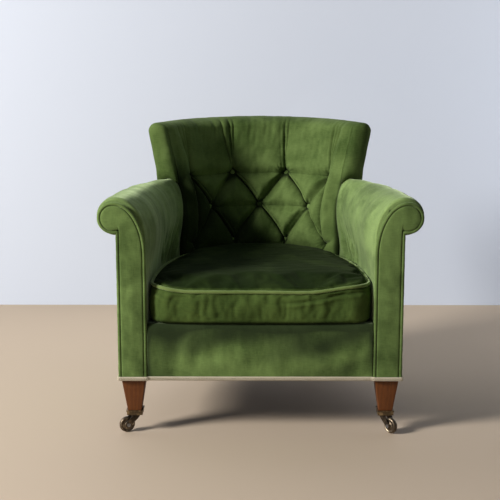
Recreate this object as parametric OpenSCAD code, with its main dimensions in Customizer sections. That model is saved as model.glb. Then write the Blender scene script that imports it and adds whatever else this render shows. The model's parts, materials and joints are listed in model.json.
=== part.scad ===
// Tub chair: timber frame, sprung seat, buttoned back, scroll arms, loose cushion and castors.
// Depth is measured back from the front plane of the arms, and the whole chair is then centred.

/* [Plan of the tub] */
// Half width of the plan line at the arms
plan_half_w = 312; // [295:1:325]
// Depth at which the arms stop being straight
plan_join = 80; // [60:1:100]
// Depth of the curved part of the plan line
plan_rear = 550; // [530:1:570]
// Power of the plan curve, where 2 is an ellipse
plan_power = 2.3; // [2.2:0.05:2.5]
// Depth of the middle of the whole chair, which becomes its origin
depth_mid = 376.7; // [370:0.1:382]

/* [Heights] */
// Underside of the seat frame
frame_z = 145; // [141:1:151]
// Height of the seat rails
rail_h = 69; // [60:1:74]
// Top of the sprung seat under the cushion
deck_z = 281; // [276:1:286]
// Crest of the arm rolls
arm_z = 590; // [580:1:600]
// Height at which the back's top roll starts
back_z = 720; // [705:1:730]
// Rise of the top roll at the middle of the back
crown_mid = 32; // [28:1:38]
// Rise of the top roll at the wings
crown_wing = 24; // [20:1:30]

/* [Frame timber] */
// Thickness of the seat rails
rail_t = 30; // [26:1:30]
// Height of the arm rails and the top rail
plank_h = 22; // [18:1:24]
// Arc length between the back's middle and the wing posts
wing_s = 318; // [310:1:325]
// Width of the posts along the plan
post_w = 28; // [24:1:32]
// Depth of the arm stumps
stump_d = 42; // [36:1:46]
// Thickness of the facing boards
board_t = 5; // [4:0.5:6]

/* [Upholstery] */
// Padding of the arms inside the plan line, at the seat
arm_pad = 38.5; // [36:0.5:42]
// Padding of the back inside the plan line, at the seat
back_pad = 50; // [46:1:54]
// How far the arms bulge over the seat
arm_belly = 23; // [16:1:28]
// Depth of the buttoned padding of the back
tuft_pad = 27; // [25:1:30]
// How deep the buttons are pulled in
tuft_depth = 15; // [10:1:17]
// How far the padding swells between the buttons
tuft_puff = 6; // [3:0.5:8]
// Thickness of the back at its top, in the middle
back_top_t = 95; // [85:1:100]
// Thickness of the wings at their top
wing_top_t = 56; // [50:1:60]
// Reach of the outer covers beyond the plan line
cover_out = 35; // [35:0.5:37]
// Thickness of the outer covers
cover_t = 3.7; // [3:0.1:4]
// Radius of the piping
piping_r = 4.2; // [3.5:0.1:4.5]
// Height of the braid
gimp_h = 10; // [8:1:12]

/* [Cushion] */
// Height of the cushion's upper piping above the seat
cushion_pipe_z = 73; // [68:1:78]
// Height of the cushion's crown above the seat
cushion_crown = 111; // [104:1:116]
// Radius of the cushion's front corners
cushion_corner = 68; // [55:1:75]
// How much higher the upper piping runs at the corners and sides than across the front
cushion_lift = 18; // [8:1:22]
// How far the lower piping is tucked under the cushion
cushion_tuck = 9; // [4:1:12]

/* [Legs and castors] */
// Width of a leg at its top
leg_top = 60; // [56:1:62]
// Width of a leg where it enters its cup
leg_foot = 34; // [32:0.1:36]
// Distance of the front legs inside the plan line of the arms
leg_front_in = 1; // [0:0.5:6]
// Depth of the front legs
leg_front_d = 35; // [33:1:39]
// Arc length between the back's middle and the outer corners of the rear legs
leg_rear_s = 205; // [200:1:210]
// How far the rear legs rake back
leg_rake = 26; // [10:1:30]
// Radius of a castor wheel
wheel_r = 20; // [19:0.5:21]
// Width of a castor wheel
wheel_w = 15; // [13:0.5:16]
// Distance between a castor's pin and its axle
castor_trail = 22; // [20:1:23]
// Radius of the axles
axle_r = 3; // [2.5:0.1:3.2]
// Turn of each castor: front left, front right, rear left, rear right
castor_turns = [205, -53, 118, 70];

/* [Springs] */
// Radius of the springs at their ends
spring_r = 32; // [28:1:36]
// Radius of the spring wire
wire_r = 1.8; // [1.5:0.1:2]
// Turns of a spring
spring_turns = 4.5; // [4:0.5:5]

/* [Hidden] */

velvet = "#4d6a36";
piping_green = "#6f8a4e";
timber = "#b98a58";
mahogany = "#8a4a26";
brass = "#9a7b45";
dark_brass = "#4a3f33";
linen = "#cfc3a2";
hessian = "#a98b5c";
steel = "#7d8084";

// Clearances
seat_gap = 0.3;
bore_gap = 0.05;
press_gap = 0.02;
cushion_gap = 2;
pad_gap = 1;
cut_over = 1;

rail_z = frame_z + rail_h;
rail_in = cover_out - cover_t - seat_gap - rail_t;
rail_out = rail_in + rail_t;
pad_back = rail_in - seat_gap;

// Basic helpers
function smooth(t) = let (c = min(1, max(0, t))) c * c * (3 - 2 * c);
function blend(a, b, t) = a + (b - a) * t;
function unit(v) = v / norm(v);
function soft_ramp(q, soft) = (q + sqrt(q * q + soft * soft)) / 2;

// Plan line of the tub, walked by arc length from the middle of the back
plan_steps = 90;
function plan_curve(t) = [
    plan_half_w * pow(cos(t), 2 / plan_power),
    plan_join + plan_rear * pow(sin(t), 2 / plan_power)
];
plan_pts = concat([for (i = [0:plan_steps]) plan_curve(90 * (1 - i / plan_steps))], [[plan_half_w, 0]]);
function plan_run(i) = i == 0 ? 0 : plan_run(i - 1) + norm(plan_pts[i] - plan_pts[i - 1]);
plan_runs = [for (i = [0:plan_steps + 1]) plan_run(i)];
plan_x_tab = [for (i = [0:plan_steps + 1]) [plan_runs[i], plan_pts[i][0]]];
plan_d_tab = [for (i = [0:plan_steps + 1]) [plan_runs[i], plan_pts[i][1]]];
plan_len = plan_runs[plan_steps + 1];
plan_probe = 4;

function plan_at(s) = [sign(s) * lookup(abs(s), plan_x_tab), lookup(abs(s), plan_d_tab)];
function plan_normal(s) =
    let (v = plan_at(s + plan_probe) - plan_at(s - plan_probe)) unit([-v[1], v[0]]);
function spread(a, b, n) = [for (i = [0:n]) blend(a, b, i / n)];

// Stations of the tub: all that follows it is straight between them, so that faces lie parallel
back_stations = 17;
arm_stations = 24;
back_step = wing_s / back_stations;
arm_step = (plan_len - wing_s) / arm_stations;
stations = concat(spread(0, wing_s, back_stations), [for (i = [1:arm_stations]) wing_s + i * arm_step]);
station_pts = [for (s = stations) plan_at(s)];
station_normals = [for (s = stations) plan_normal(s)];
function station_off(i, off) = station_pts[i] + station_normals[i] * off;
function plan_off(s, off) =
    let (
        a = abs(s),
        h = a < wing_s ? a / back_step : back_stations + (a - wing_s) / arm_step,
        i = min(floor(h), len(stations) - 2),
        p = blend(station_off(i, off), station_off(i + 1, off), h - i)
    )
    [sign(s) * p[0], p[1]];
function tub(s, off, z) = let (p = plan_off(s, off)) [p[0], p[1], z];
all_stations = concat([for (i = [len(stations) - 1:-1:1]) -stations[i]], stations);
station_gap = 0.5;
function run_ss(s0, s1) =
    s0 < s1
    ? concat([s0], [for (s = all_stations) if (s > s0 + station_gap && s < s1 - station_gap) s], [s1])
    : [for (s = run_ss(-s0, -s1)) -s];

// Inner and outer faces of the back as offsets from the plan line
side_from = 60;
side_run = 250;
lean_mid_share = 0.249;
lean_wing_share = 0.26;
bend_mid = 380;
bend_wing = 520;
bend_soft = 20;
outer_bend_mid = 250;
outer_bend_wing = 560;
function side_share(s) = smooth((abs(s) - side_from) / side_run);
function seat_pad(s) = blend(back_pad, arm_pad, side_share(s));
function inner_off(s, z) =
    let (k = side_share(s), q = z - blend(bend_mid, bend_wing, k))
    -seat_pad(s) + blend(lean_mid_share, lean_wing_share, k) * (soft_ramp(q, bend_soft) - bend_soft / 10);
function outer_off(s, z) =
    let (
        k = side_share(s),
        start = blend(outer_bend_mid, outer_bend_wing, k),
        top = inner_off(s, back_z) + blend(back_top_t, wing_top_t, k)
    )
    cover_out + (top - cover_out) * max(0, (z - start) / (back_z - start));
function crown_h(s) = blend(crown_mid, crown_wing, abs(s) / wing_s);

// Solid through rings of equal length, where a thin shell's ends are closed strip by strip
module skin(rings, thin = false) {
    n = len(rings[0]);
    m = len(rings);
    sides = [
        for (i = [0:m - 2], j = [0:n - 1])
            let (a = i * n + j, b = i * n + (j + 1) % n)
                each [[a, b, b + n], [a, b + n, a + n]]
    ];
    last = (m - 1) * n;
    ends = thin
        ? [
            for (j = [0:n / 2 - 2])
                let (a = j, b = j + 1, c = n - 1 - j, e = n - 2 - j)
                    each [
                        [a, e, b], [a, c, e],
                        [last + a, last + b, last + e], [last + a, last + e, last + c]
                    ]
        ]
        : [[for (j = [n - 1:-1:0]) j], [for (j = [0:n - 1]) last + j]];
    polyhedron(points = [for (r = rings) each r], faces = concat(sides, ends));
}

// Tube along a list of points, with a section of the given number of sides
function tube_ring(p, q, r, sides, side_dir) =
    let (t = unit(q), u = unit(side_dir - t * (side_dir * t)), w = cross(t, u))
    [for (k = [0:sides - 1]) let (a = 360 * (k + 0.5) / sides) p + (u * cos(a) + w * sin(a)) * r];
function run_dir(path, i, closed) =
    let (n = len(path))
    closed ? path[(i + 1) % n] - path[(i + n - 1) % n] : path[min(n - 1, i + 1)] - path[max(0, i - 1)];
module tube(path, r, sides, side_dir) {
    skin([for (i = [0:len(path) - 1])
        tube_ring(path[i], run_dir(path, i, false), r, sides, side_dir)]);
}
module tube_loop(path, r, sides, side_dir) {
    m = len(path);
    rings = [for (i = [0:m - 1]) tube_ring(path[i], run_dir(path, i, true), r, sides, side_dir)];
    faces = [
        for (i = [0:m - 1], j = [0:sides - 1])
            let (
                a = i * sides + j,
                b = i * sides + (j + 1) % sides,
                c = ((i + 1) % m) * sides + j,
                e = ((i + 1) % m) * sides + (j + 1) % sides
            )
                each [[a, b, e], [a, e, c]]
    ];
    polyhedron(points = [for (g = rings) each g], faces = faces);
}

// Placing
module centred() {
    translate([0, -depth_mid, 0]) children();
}
module handed(side) {
    if (side < 0) {
        mirror([1, 0, 0]) children();
    } else {
        children();
    }
}
module slab(z0, z1) {
    translate([0, 0, z0]) linear_extrude(z1 - z0) children();
}

// Curved plank between two offsets, from arc length s0 to s1
function band_pts(s0, s1, off0, off1) = concat(
    [for (s = run_ss(s0, s1)) plan_off(s, off0)],
    [for (s = run_ss(s1, s0)) plan_off(s, off1)]
);
module plank(s0, s1, off0, off1, z0, z1) {
    slab(z0, z1) polygon(band_pts(s0, s1, off0, off1));
}

// Timber seat frame
face_d = -3;
pipe_d = 2.5;
board_d = 8;
front_rail_t = 28;
front_d = board_d + board_t + pad_gap;
front_back_d = front_d + front_rail_t;

module front_seat_rail() {
    color(timber)
        centred()
            translate([-plan_half_w - rail_in, front_d, frame_z])
                cube([2 * (plan_half_w + rail_in), front_back_d - front_d, rail_h]);
}

module side_seat_rail(side) {
    color(timber)
        centred()
            handed(side)
                plank(leg_rear_s, plan_len - board_d - board_t, rail_in, rail_out, frame_z, rail_z);
}

module back_seat_rail() {
    color(timber)
        centred()
            plank(-leg_rear_s, leg_rear_s, rail_in, rail_out, frame_z, rail_z);
}

block_leg = 60;
block_low = 14;
block_z1 = rail_z - block_low;
rear_block_s = 34;
rear_block_in = 26;
rear_block_bite = 6;
module corner_blocks() {
    x = plan_half_w + rail_in;
    color(timber)
        centred()
            for (side = [-1, 1])
                handed(side) {
                    slab(frame_z, block_z1)
                        difference() {
                            polygon([[x, front_back_d], [x - block_leg, front_back_d], [x, front_back_d + block_leg]]);
                            polygon(band_pts(0, plan_len, rail_in, rail_out));
                        }
                    slab(frame_z, block_z1)
                        difference() {
                            polygon([
                                plan_off(leg_rear_s - rear_block_s, rail_in + rear_block_bite),
                                plan_off(leg_rear_s + rear_block_s, rail_in + rear_block_bite),
                                plan_off(leg_rear_s, -rear_block_in)
                            ]);
                            polygon(band_pts(0, plan_len, rail_in, rail_out));
                        }
                }
}

// Timber of the arms
arm_plank_drop = 61;
arm_plank_z = arm_z - arm_plank_drop;
function fa_of(s) = plan_len - s;
arm_len = plan_len - wing_s;
roll_front_c = 37;
roll_mid_c = 8;
roll_front_r = 47;
roll_rear_r = 38;
roll_fade = 110;
roll_hold = 25;
function roll_end(fa) = smooth((fa - (arm_len - roll_hold - roll_fade)) / roll_fade);
function roll_c(fa) = blend(blend(roll_front_c, roll_mid_c, fa / arm_len), 0, roll_end(fa));
function roll_r(fa) = blend(roll_front_r, roll_rear_r, max(fa / arm_len * 0.5, roll_end(fa)));
rail_past = 22;
rail_end_in = 2;

module arm_stump(side) {
    color(timber)
        centred()
            handed(side)
                translate([plan_half_w + rail_in, board_d + board_t, rail_z])
                    cube([rail_t, stump_d, arm_plank_z - rail_z]);
}

module arm_rail(side) {
    ss = run_ss(plan_len - board_d - board_t, wing_s - rail_end_in);
    n = len(ss) - 1;
    color(timber)
        centred()
            handed(side)
                slab(arm_plank_z, arm_plank_z + plank_h)
                    polygon(concat(
                        [for (s = ss) plan_off(s, rail_in)],
                        [for (i = [n:-1:0]) plan_off(ss[i], roll_c(fa_of(ss[i])) + rail_past)]
                    ));
}

// Posts of the wings and the back, standing on the seat rail and leaning out above it
post_bend = 300;
top_plank_drop = 30;
top_plank_z = back_z - top_plank_drop;
post_t = rail_t - rail_end_in;
post_lean_t = 18;
module post(s_mid, half, bend_z, top_in) {
    ss = run_ss(s_mid - half, s_mid + half);
    n = len(ss);
    rings = [
        for (lv = [[rail_z, rail_in, post_t], [bend_z, rail_in, post_t], [top_plank_z, top_in, post_lean_t]])
            concat(
                [for (s = ss) tub(s, lv[1], lv[0])],
                [for (i = [1:n]) tub(ss[n - i], lv[1] + lv[2], lv[0])]
            )
    ];
    skin(rings);
}
post_edge = 3;
wing_post_s = wing_s - post_edge - post_w / 2;
module wing_post(side) {
    color(timber)
        centred()
            handed(side)
                post(wing_post_s, post_w / 2, outer_bend_wing, top_rail_in(wing_post_s));
}
back_post_share = 0.44;
back_post_s = back_post_share * wing_s;
module back_post(side) {
    color(timber)
        centred()
            handed(side)
                post(back_post_s, post_w / 2, post_bend, top_rail_in(back_post_s));
}

top_rail_t = 32;
top_rail_gap = 3;
function top_rail_in(s) = inner_off(s, top_plank_z + plank_h) + tuft_pad + pad_gap;
function top_rail_out(s) =
    min(outer_off(s, top_plank_z) - cover_t - top_rail_gap, top_rail_in(s) + top_rail_t);
module top_back_rail() {
    ss = run_ss(rail_end_in - wing_s, wing_s - rail_end_in);
    n = len(ss) - 1;
    color(timber)
        centred()
            slab(top_plank_z, top_plank_z + plank_h)
                polygon(concat(
                    [for (s = ss) plan_off(s, top_rail_in(s))],
                    [for (i = [n:-1:0]) plan_off(ss[i], top_rail_out(ss[i]))]
                ));
}

tack_low = 26;
tack_high = 6;
tack_z0 = deck_z - tack_low;
tack_z1 = deck_z + tack_high;
tack_t = 15;
module arm_tacking_rail(side) {
    s_front = plan_len - board_d - board_t - stump_d;
    color(timber)
        centred()
            handed(side)
                plank(wing_post_s + post_w / 2, s_front, rail_in, rail_in + tack_t, tack_z0, tack_z1);
}
module back_tacking_rail() {
    s_mid = back_post_s - post_w / 2;
    s_out = back_post_s + post_w / 2;
    s_end = wing_post_s - post_w / 2;
    color(timber)
        centred() {
            plank(-s_mid, s_mid, rail_in, rail_in + tack_t, tack_z0, tack_z1);
            for (side = [-1, 1])
                handed(side)
                    plank(s_out, s_end, rail_in, rail_in + tack_t, tack_z0, tack_z1);
        }
}

// Legs, each with a straight end seated in its castor cup
cup_z0 = 46;
cup_floor = 5;
cup_h = 12;
cup_wall = 2.2;
cup_lip = 1.5;
cup_lip_h = 2.5;
head_r = 5;
head_h = 1.9;
head_gap = 1;
leg_end_z = cup_z0 + cup_floor;
cup_z1 = cup_z0 + cup_h;
leg_front_x = plan_half_w - leg_front_in;
leg_edge = 1;
leg_rear_corner = plan_off(leg_rear_s, rail_out - leg_edge);
leg_rear_x = leg_rear_corner[0] - leg_top / 2;
leg_rear_d = leg_rear_corner[1] - leg_top / 2;

function square_ring(x, d, w, z) = [
    [x - w / 2, d - w / 2, z], [x + w / 2, d - w / 2, z], [x + w / 2, d + w / 2, z], [x - w / 2, d + w / 2, z]
];
module leg(x, d, rake) {
    color(mahogany)
        centred()
            difference() {
                skin([
                    square_ring(x, d + rake, leg_foot, leg_end_z),
                    square_ring(x, d + rake, leg_foot, cup_z1),
                    square_ring(x, d, leg_top, frame_z)
                ]);
                translate([x, d + rake, leg_end_z - cut_over])
                    cylinder(h = head_h + cut_over + head_gap, r = head_r + head_gap, $fn = 40);
            }
}
module leg_front(side) {
    leg(side * leg_front_x, leg_front_d, 0);
}
module leg_rear(side) {
    leg(side * leg_rear_x, leg_rear_d, leg_rake);
}

// Sprung seat
function tub_floor(off, front) = concat(
    [[plan_half_w + off, front]],
    [for (s = run_ss(plan_len - front, front - plan_len)) plan_off(s, off)],
    [[-plan_half_w - off, front]]
);
strap_w = 48;
strap_t = 2;
strap_edge = 4;
strap_out = rail_out - strap_edge;
strap_cols = 2;
strap_rows = 6;
strap_first_d = leg_front_d + (leg_top + strap_w) / 2 + leg_edge;
strap_pitch_x = (leg_rear_x - (leg_top + strap_w) / 2 - leg_edge) / strap_cols;
strap_pitch_d = (leg_rear_d - (leg_top + strap_w) / 2 - leg_edge - strap_first_d) / strap_rows;
module seat_webbing() {
    color(linen)
        centred() {
            for (i = [-strap_cols:strap_cols])
                slab(frame_z - strap_t, frame_z)
                    intersection() {
                        polygon(tub_floor(strap_out, front_d + strap_edge));
                        translate([i * strap_pitch_x - strap_w / 2, 0])
                            square([strap_w, plan_join + plan_rear + rail_out]);
                    }
            for (i = [0:strap_rows])
                slab(frame_z - 2 * strap_t, frame_z - strap_t)
                    intersection() {
                        polygon(tub_floor(strap_out, front_d + strap_edge));
                        translate([-plan_half_w - rail_out, strap_first_d + i * strap_pitch_d - strap_w / 2])
                            square([2 * (plan_half_w + rail_out), strap_w]);
                    }
        }
}

hessian_z = 240;
hessian_t = 1.5;
spring_waist_share = 0.68;
spring_steps = 8;
function spring_path(x, d) =
    let (n = spring_turns * spring_steps, z0 = frame_z + wire_r + seat_gap, z1 = hessian_z - wire_r - seat_gap)
    [
        for (i = [0:n])
            let (
                t = i / n,
                a = 360 * spring_turns * t,
                r = spring_r * (1 - (1 - spring_waist_share) * sin(180 * t)),
                rise = min(1, max(0, (i - spring_steps / 2) / (n - spring_steps)))
            )
                [x + r * cos(a), d + r * sin(a), blend(z0, z1, rise)]
    ];
spring_skip = 2;
module seat_springs() {
    color(steel)
        centred()
            for (i = [-1:1], k = [0:2])
                tube(
                    spring_path(spring_skip * i * strap_pitch_x, strap_first_d + strap_pitch_d * (1 + spring_skip * k)),
                    wire_r, 4, [0, 0, 1]
                );
}

hessian_skirt = 10;
module spring_hessian() {
    color(hessian)
        centred()
            difference() {
                slab(rail_z - hessian_skirt, hessian_z + hessian_t)
                    polygon(tub_floor(pad_back, front_back_d + seat_gap));
                slab(rail_z - hessian_skirt - cut_over, hessian_z)
                    polygon(tub_floor(pad_back - hessian_t, front_back_d + seat_gap + hessian_t));
            }
}

function seat_loop(gap, front) = concat(
    [[plan_half_w - arm_pad - gap, front]],
    [for (s = run_ss(plan_len - front, front - plan_len)) plan_off(s, -seat_pad(s) - gap)],
    [[-plan_half_w + arm_pad + gap, front]]
);
module seat_stuffing() {
    color(linen)
        centred()
            slab(hessian_z + hessian_t, deck_z)
                polygon(seat_loop(pad_gap, front_back_d + seat_gap));
}

cover_under = 1;
dust_in = 6;
module dust_cover() {
    z1 = frame_z - 2 * strap_t;
    color("#2b2a28")
        centred()
            slab(z1 - cover_under, z1)
                difference() {
                    polygon(tub_floor(rail_out - dust_in, front_d));
                    for (side = [-1, 1]) {
                        translate([side * leg_front_x, leg_front_d]) square(leg_top + 2 * leg_edge, center = true);
                        translate([side * leg_rear_x, leg_rear_d]) square(leg_top + 2 * leg_edge, center = true);
                    }
                }
}

scroll_w = 36;
border_bulge = 2.5;
border_d = 1;
border_round_d = 12;
border_round_h = 11;
border_steps = 6;
border_half = plan_half_w - scroll_w - 2 * seat_gap;
module front_border() {
    color(velvet)
        centred()
            translate([-border_half, 0, 0])
                rotate([90, 0, 90])
                    linear_extrude(2 * border_half)
                        polygon(concat(
                            [[front_d - seat_gap, frame_z], [border_d, frame_z]],
                            [for (t = [1:border_steps - 1])
                                [
                                    border_d - border_bulge * sin(180 * t / border_steps),
                                    blend(frame_z, deck_z - border_round_h, t / border_steps)
                                ]],
                            [for (a = [0:22.5:90])
                                [
                                    border_d + border_round_d * (1 - cos(a)),
                                    deck_z - border_round_h * (1 - sin(a))
                                ]],
                            [
                                [front_back_d, deck_z],
                                [front_back_d, rail_z + seat_gap],
                                [front_d - seat_gap, rail_z + seat_gap]
                            ]
                        ));
}

// Scroll outline of the arm fronts, drawn in by a distance
scroll_c = 40.5;
scroll_r = 38.5;
scroll_z = 541;
scroll_mid_z = 450;
scroll_neck = 35;
scroll_low_z = 300;
scroll_turn_z = 420;
over_steps = 8;
scroll_steps = 11;
function scroll_pts(in) =
    let (w = scroll_w - in, r = scroll_r - in, neck = scroll_neck - in, a1 = acos((neck - scroll_c) / r))
    concat(
        [[-w, frame_z], [-w, scroll_low_z], [-w, scroll_mid_z]],
        [for (t = [1:over_steps])
            let (a = 90 * t / over_steps)
                [
                    scroll_c - (scroll_c + w) * cos(a),
                    scroll_mid_z + (scroll_z + r - scroll_mid_z) * sin(a)
                ]],
        [for (t = [1:scroll_steps])
            let (a = 90 - (90 + a1) * t / scroll_steps) [scroll_c + r * cos(a), scroll_z + r * sin(a)]],
        [[neck, scroll_turn_z], [neck, scroll_low_z], [neck, frame_z]]
    );
module scroll_plate(in, d0, d1) {
    translate([plan_half_w, d1, 0])
        rotate([90, 0, 0])
            linear_extrude(d1 - d0)
                polygon(scroll_pts(in));
}
facing_gap = 0.1;
pipe_bite = 0.2;
facing_edge = 1.5;
facing_in = 2 * piping_r + facing_gap;
pipe_in = piping_r - pipe_bite;
board_in = 5.7;
module arm_facing(side) {
    color(velvet)
        centred()
            handed(side)
                difference() {
                    union() {
                        scroll_plate(facing_in, face_d, board_d);
                        scroll_plate(facing_edge, pipe_d + piping_r + seat_gap, board_d + board_t);
                    }
                    scroll_plate(board_in, board_d, board_d + board_t + cut_over);
                }
}
module facing_board(side) {
    color(timber)
        centred()
            handed(side)
                scroll_plate(board_in + seat_gap, board_d, board_d + board_t);
}
module facing_piping(side) {
    color(piping_green)
        centred()
            handed(side)
                tube(
                    [for (p = scroll_pts(pipe_in)) [plan_half_w + p[0], pipe_d, p[1]]],
                    piping_r, 6, [0, 1, 0]
                );
}

// Padding of the arms, hooked over the arm rail
arm_belly_z0 = 365;
arm_belly_z1 = 490;
arm_front = board_d + board_t + seat_gap;
front_puff = 8;
front_puff_run = 14;
arm_button_z = 393;
arm_cols = 17;
arm_cols_d = 50;
arm_button_cols = [12, 15];
arm_button_fas = [
    for (k = arm_button_cols) blend(arm_cols_d, arm_len - roll_hold, k / arm_cols)
];
arm_tuft = 9;
arm_widen_d = 45;
arm_fade = 110;
belly_run = 90;
belly_fade_from = 120;
belly_loss_share = 0.65;
arm_over = 2;
turn_steps = 6;
roll_steps = 7;
pad_swell = 0.5;
arm_pleat_w = 20;
arm_pleat_up = 48;
arm_pleat_down = 26;
pad_foot_z = 245;
lip_z = 512;
lip_t = 1.6;
function puff_in(fa) = let (t = min(1, (fa - arm_front) / front_puff_run)) front_puff * (1 - sqrt(1 - pow(1 - t, 2)));
function arm_w(fa) = blend(scroll_w - seat_gap, arm_pad, smooth((fa - arm_widen_d) / arm_fade));
function belly(fa) =
    arm_belly * smooth((fa - arm_front) / belly_run)
        * (1 - belly_loss_share * smooth((fa - arm_len + belly_fade_from) / arm_fade));
function arm_dent(fa, z) =
    max([
        for (b = arm_button_fas)
            arm_tuft * exp(-pow((fa - b) / arm_pleat_w, 2))
                * exp(-pow((z - arm_button_z) / (z > arm_button_z ? arm_pleat_up : arm_pleat_down), 2))
    ]);
arm_low_shares = [0, 0.4, 0.7];
arm_high_shares = [0, 0.33, 0.67];
arm_low_zs = concat(
    [pad_foot_z],
    [for (k = arm_low_shares) blend(deck_z, arm_button_z, k)],
    [for (k = arm_high_shares) blend(arm_button_z, arm_belly_z1, k)]
);
function arm_zt(fa) = arm_z - puff_in(fa);
function arm_outline(fa) =
    let (
        w = arm_w(fa),
        b = belly(fa),
        r = roll_r(fa) - puff_in(fa),
        c = roll_c(fa),
        zt = arm_zt(fa),
        zc = zt - r,
        over = cover_out + arm_over,
        a1 = acos(min(1, (over - c) / r)),
        z_end = zc - r * sin(a1),
        z_lip = min(z_end - lip_t, lip_z)
    )
    concat(
        [for (z = arm_low_zs)
            [-w - b * smooth((z - arm_belly_z0) / (arm_belly_z1 - arm_belly_z0)) + arm_dent(fa, z)
                - pad_swell * sin(180 * (z - pad_foot_z) / (arm_belly_z1 - pad_foot_z)), z]],
        [for (t = [0:turn_steps - 1])
            let (a = 90 * t / turn_steps)
                [c - (c + w + b) * cos(a), arm_belly_z1 + (zt - arm_belly_z1) * sin(a)]],
        [for (t = [0:roll_steps])
            let (a = 90 - (90 + a1) * t / roll_steps) [c + r * cos(a), zc + r * sin(a)]],
        [
            [over, z_lip],
            [cover_out + seat_gap, z_lip],
            [cover_out + seat_gap, arm_plank_z - seat_gap],
            [c + rail_past + seat_gap, arm_plank_z - seat_gap],
            [c + rail_past + seat_gap, arm_plank_z + plank_h + seat_gap],
            [pad_back, arm_plank_z + plank_h + seat_gap],
            [pad_back, pad_foot_z]
        ]
    );

// Underside of a wing's edge: the arm's crest enlarged by a gap, by its turn from the outer side to the inner
foot_gap = 1.1;
foot_r = roll_rear_r + foot_gap;
foot_w = arm_pad + belly(arm_len - roll_hold) + foot_gap;
function foot_turn(off) = off > 0 ? acos(min(1, off / foot_r)) : 90 + asin(min(1, -off / foot_w));
function foot_pt(a) =
    a < 90
    ? [foot_r * cos(a), arm_z - roll_rear_r + foot_r * sin(a)]
    : [foot_w * cos(a), arm_belly_z1 + (arm_z + foot_gap - arm_belly_z1) * sin(a)];
arm_fas = concat(
    [for (a = [0:30:90]) arm_front + front_puff_run * (1 - cos(a))],
    spread(arm_cols_d, arm_len - roll_hold, arm_cols),
    [arm_len - seat_gap]
);
module inside_arm(side) {
    color(velvet)
        centred()
            handed(side)
                skin([for (fa = arm_fas) [for (p = arm_outline(fa)) tub(plan_len - fa, p[0], p[1])]]);
}

panel_z1 = 520;
module outside_arm(side) {
    color(velvet)
        centred()
            handed(side)
                plank(wing_s + seat_gap, plan_len - arm_front, cover_out - cover_t, cover_out, frame_z, panel_z1);
}

// Buttoned padding of the back, hooked over the top rail
tuft_s = 75;
row1_z = 589;
row2_z = 495;
row3_z = 389;
outer_s = 243;
row1 = [[-outer_s, row1_z], [-tuft_s, row1_z], [tuft_s, row1_z], [outer_s, row1_z]];
row2 = [[-2 * tuft_s, row2_z], [0, row2_z], [2 * tuft_s, row2_z]];
row3 = [[-outer_s, row3_z], [-tuft_s, row3_z], [tuft_s, row3_z], [outer_s, row3_z]];
tufts = concat(row1, row2, row3);
pleats = concat(
    [for (i = [0:2], k = [0, 1]) [row1[i + k], row2[i]]],
    [for (i = [0:2], k = [0, 1]) [row3[i + k], row2[i]]],
    [for (b = row1) [b, [b[0], back_z]]],
    [for (k = [0, 3]) [row1[k], row3[k]]],
    [for (b = row3) [b, [b[0], pad_foot_z]]]
);
tuft_live_z = 372;
tuft_live_run = 40;
flat_from = 10;
flat_run = 50;
pleat_share = 0.62;
pleat_w = 17;
button_w = 24;
function seg_dist(p, a, b) =
    let (v = b - a, t = min(1, max(0, ((p - a) * v) / (v * v))))
    norm(p - a - v * t);
function tuft_in(s, z) =
    let (
        p = [s, z],
        crease = max([for (c = pleats) exp(-pow(seg_dist(p, c[0], c[1]) / pleat_w, 2))]),
        pull = max([for (c = tufts) exp(-pow(norm(p - c) / button_w, 2))]),
        live = smooth((z - tuft_live_z) / tuft_live_run)
    )
    max(pull * tuft_depth * max(live, 0.5), crease * pleat_share * tuft_depth * live)
    - tuft_puff * live * (1 - max(crease, pull)) * (1 - smooth((abs(s) - outer_s - flat_from) / flat_run));
back_low_shares = [0, 0.43, 0.83, 1];
back_zs = concat(
    [for (k = back_low_shares) blend(pad_foot_z, tuft_live_z, k)],
    [row3_z],
    [for (z = spread(row3_z, row2_z, 6)) if (z > row3_z) z],
    [for (z = spread(row2_z, row1_z, 5)) if (z > row2_z) z],
    [for (z = spread(row1_z, back_z, 6)) if (z > row1_z) z]
);
lip_in = 6.5;
function back_ring(s) =
    let (
        o = outer_off(s, back_z),
        i = inner_off(s, back_z),
        mid = (o + i) / 2,
        half = (o - i) / 2,
        z_hook = top_plank_z + plank_h + seat_gap,
        crest = crown_h(s)
    )
    concat(
        [for (z = back_zs) [inner_off(s, z) + tuft_in(s, z), z]],
        [for (a = [30:30:150])
            [mid - half * cos(a) + tuft_in(s, back_z) * max(0, cos(a)), back_z + crest * sin(a)]],
        [
            [o, back_z],
            [o - lip_in, back_z],
            [o - lip_in, z_hook],
            [inner_off(s, z_hook) + tuft_pad, z_hook]
        ],
        [for (z = [row1_z, (row1_z + row2_z) / 2, row2_z, row3_z, pad_foot_z])
            [inner_off(s, z) + tuft_pad, z]]
    );
module inside_back() {
    color(velvet)
        centred()
            skin([for (s = run_ss(wing_s, -wing_s)) [for (p = back_ring(s)) tub(s, p[0], p[1])]]);
}

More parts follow.
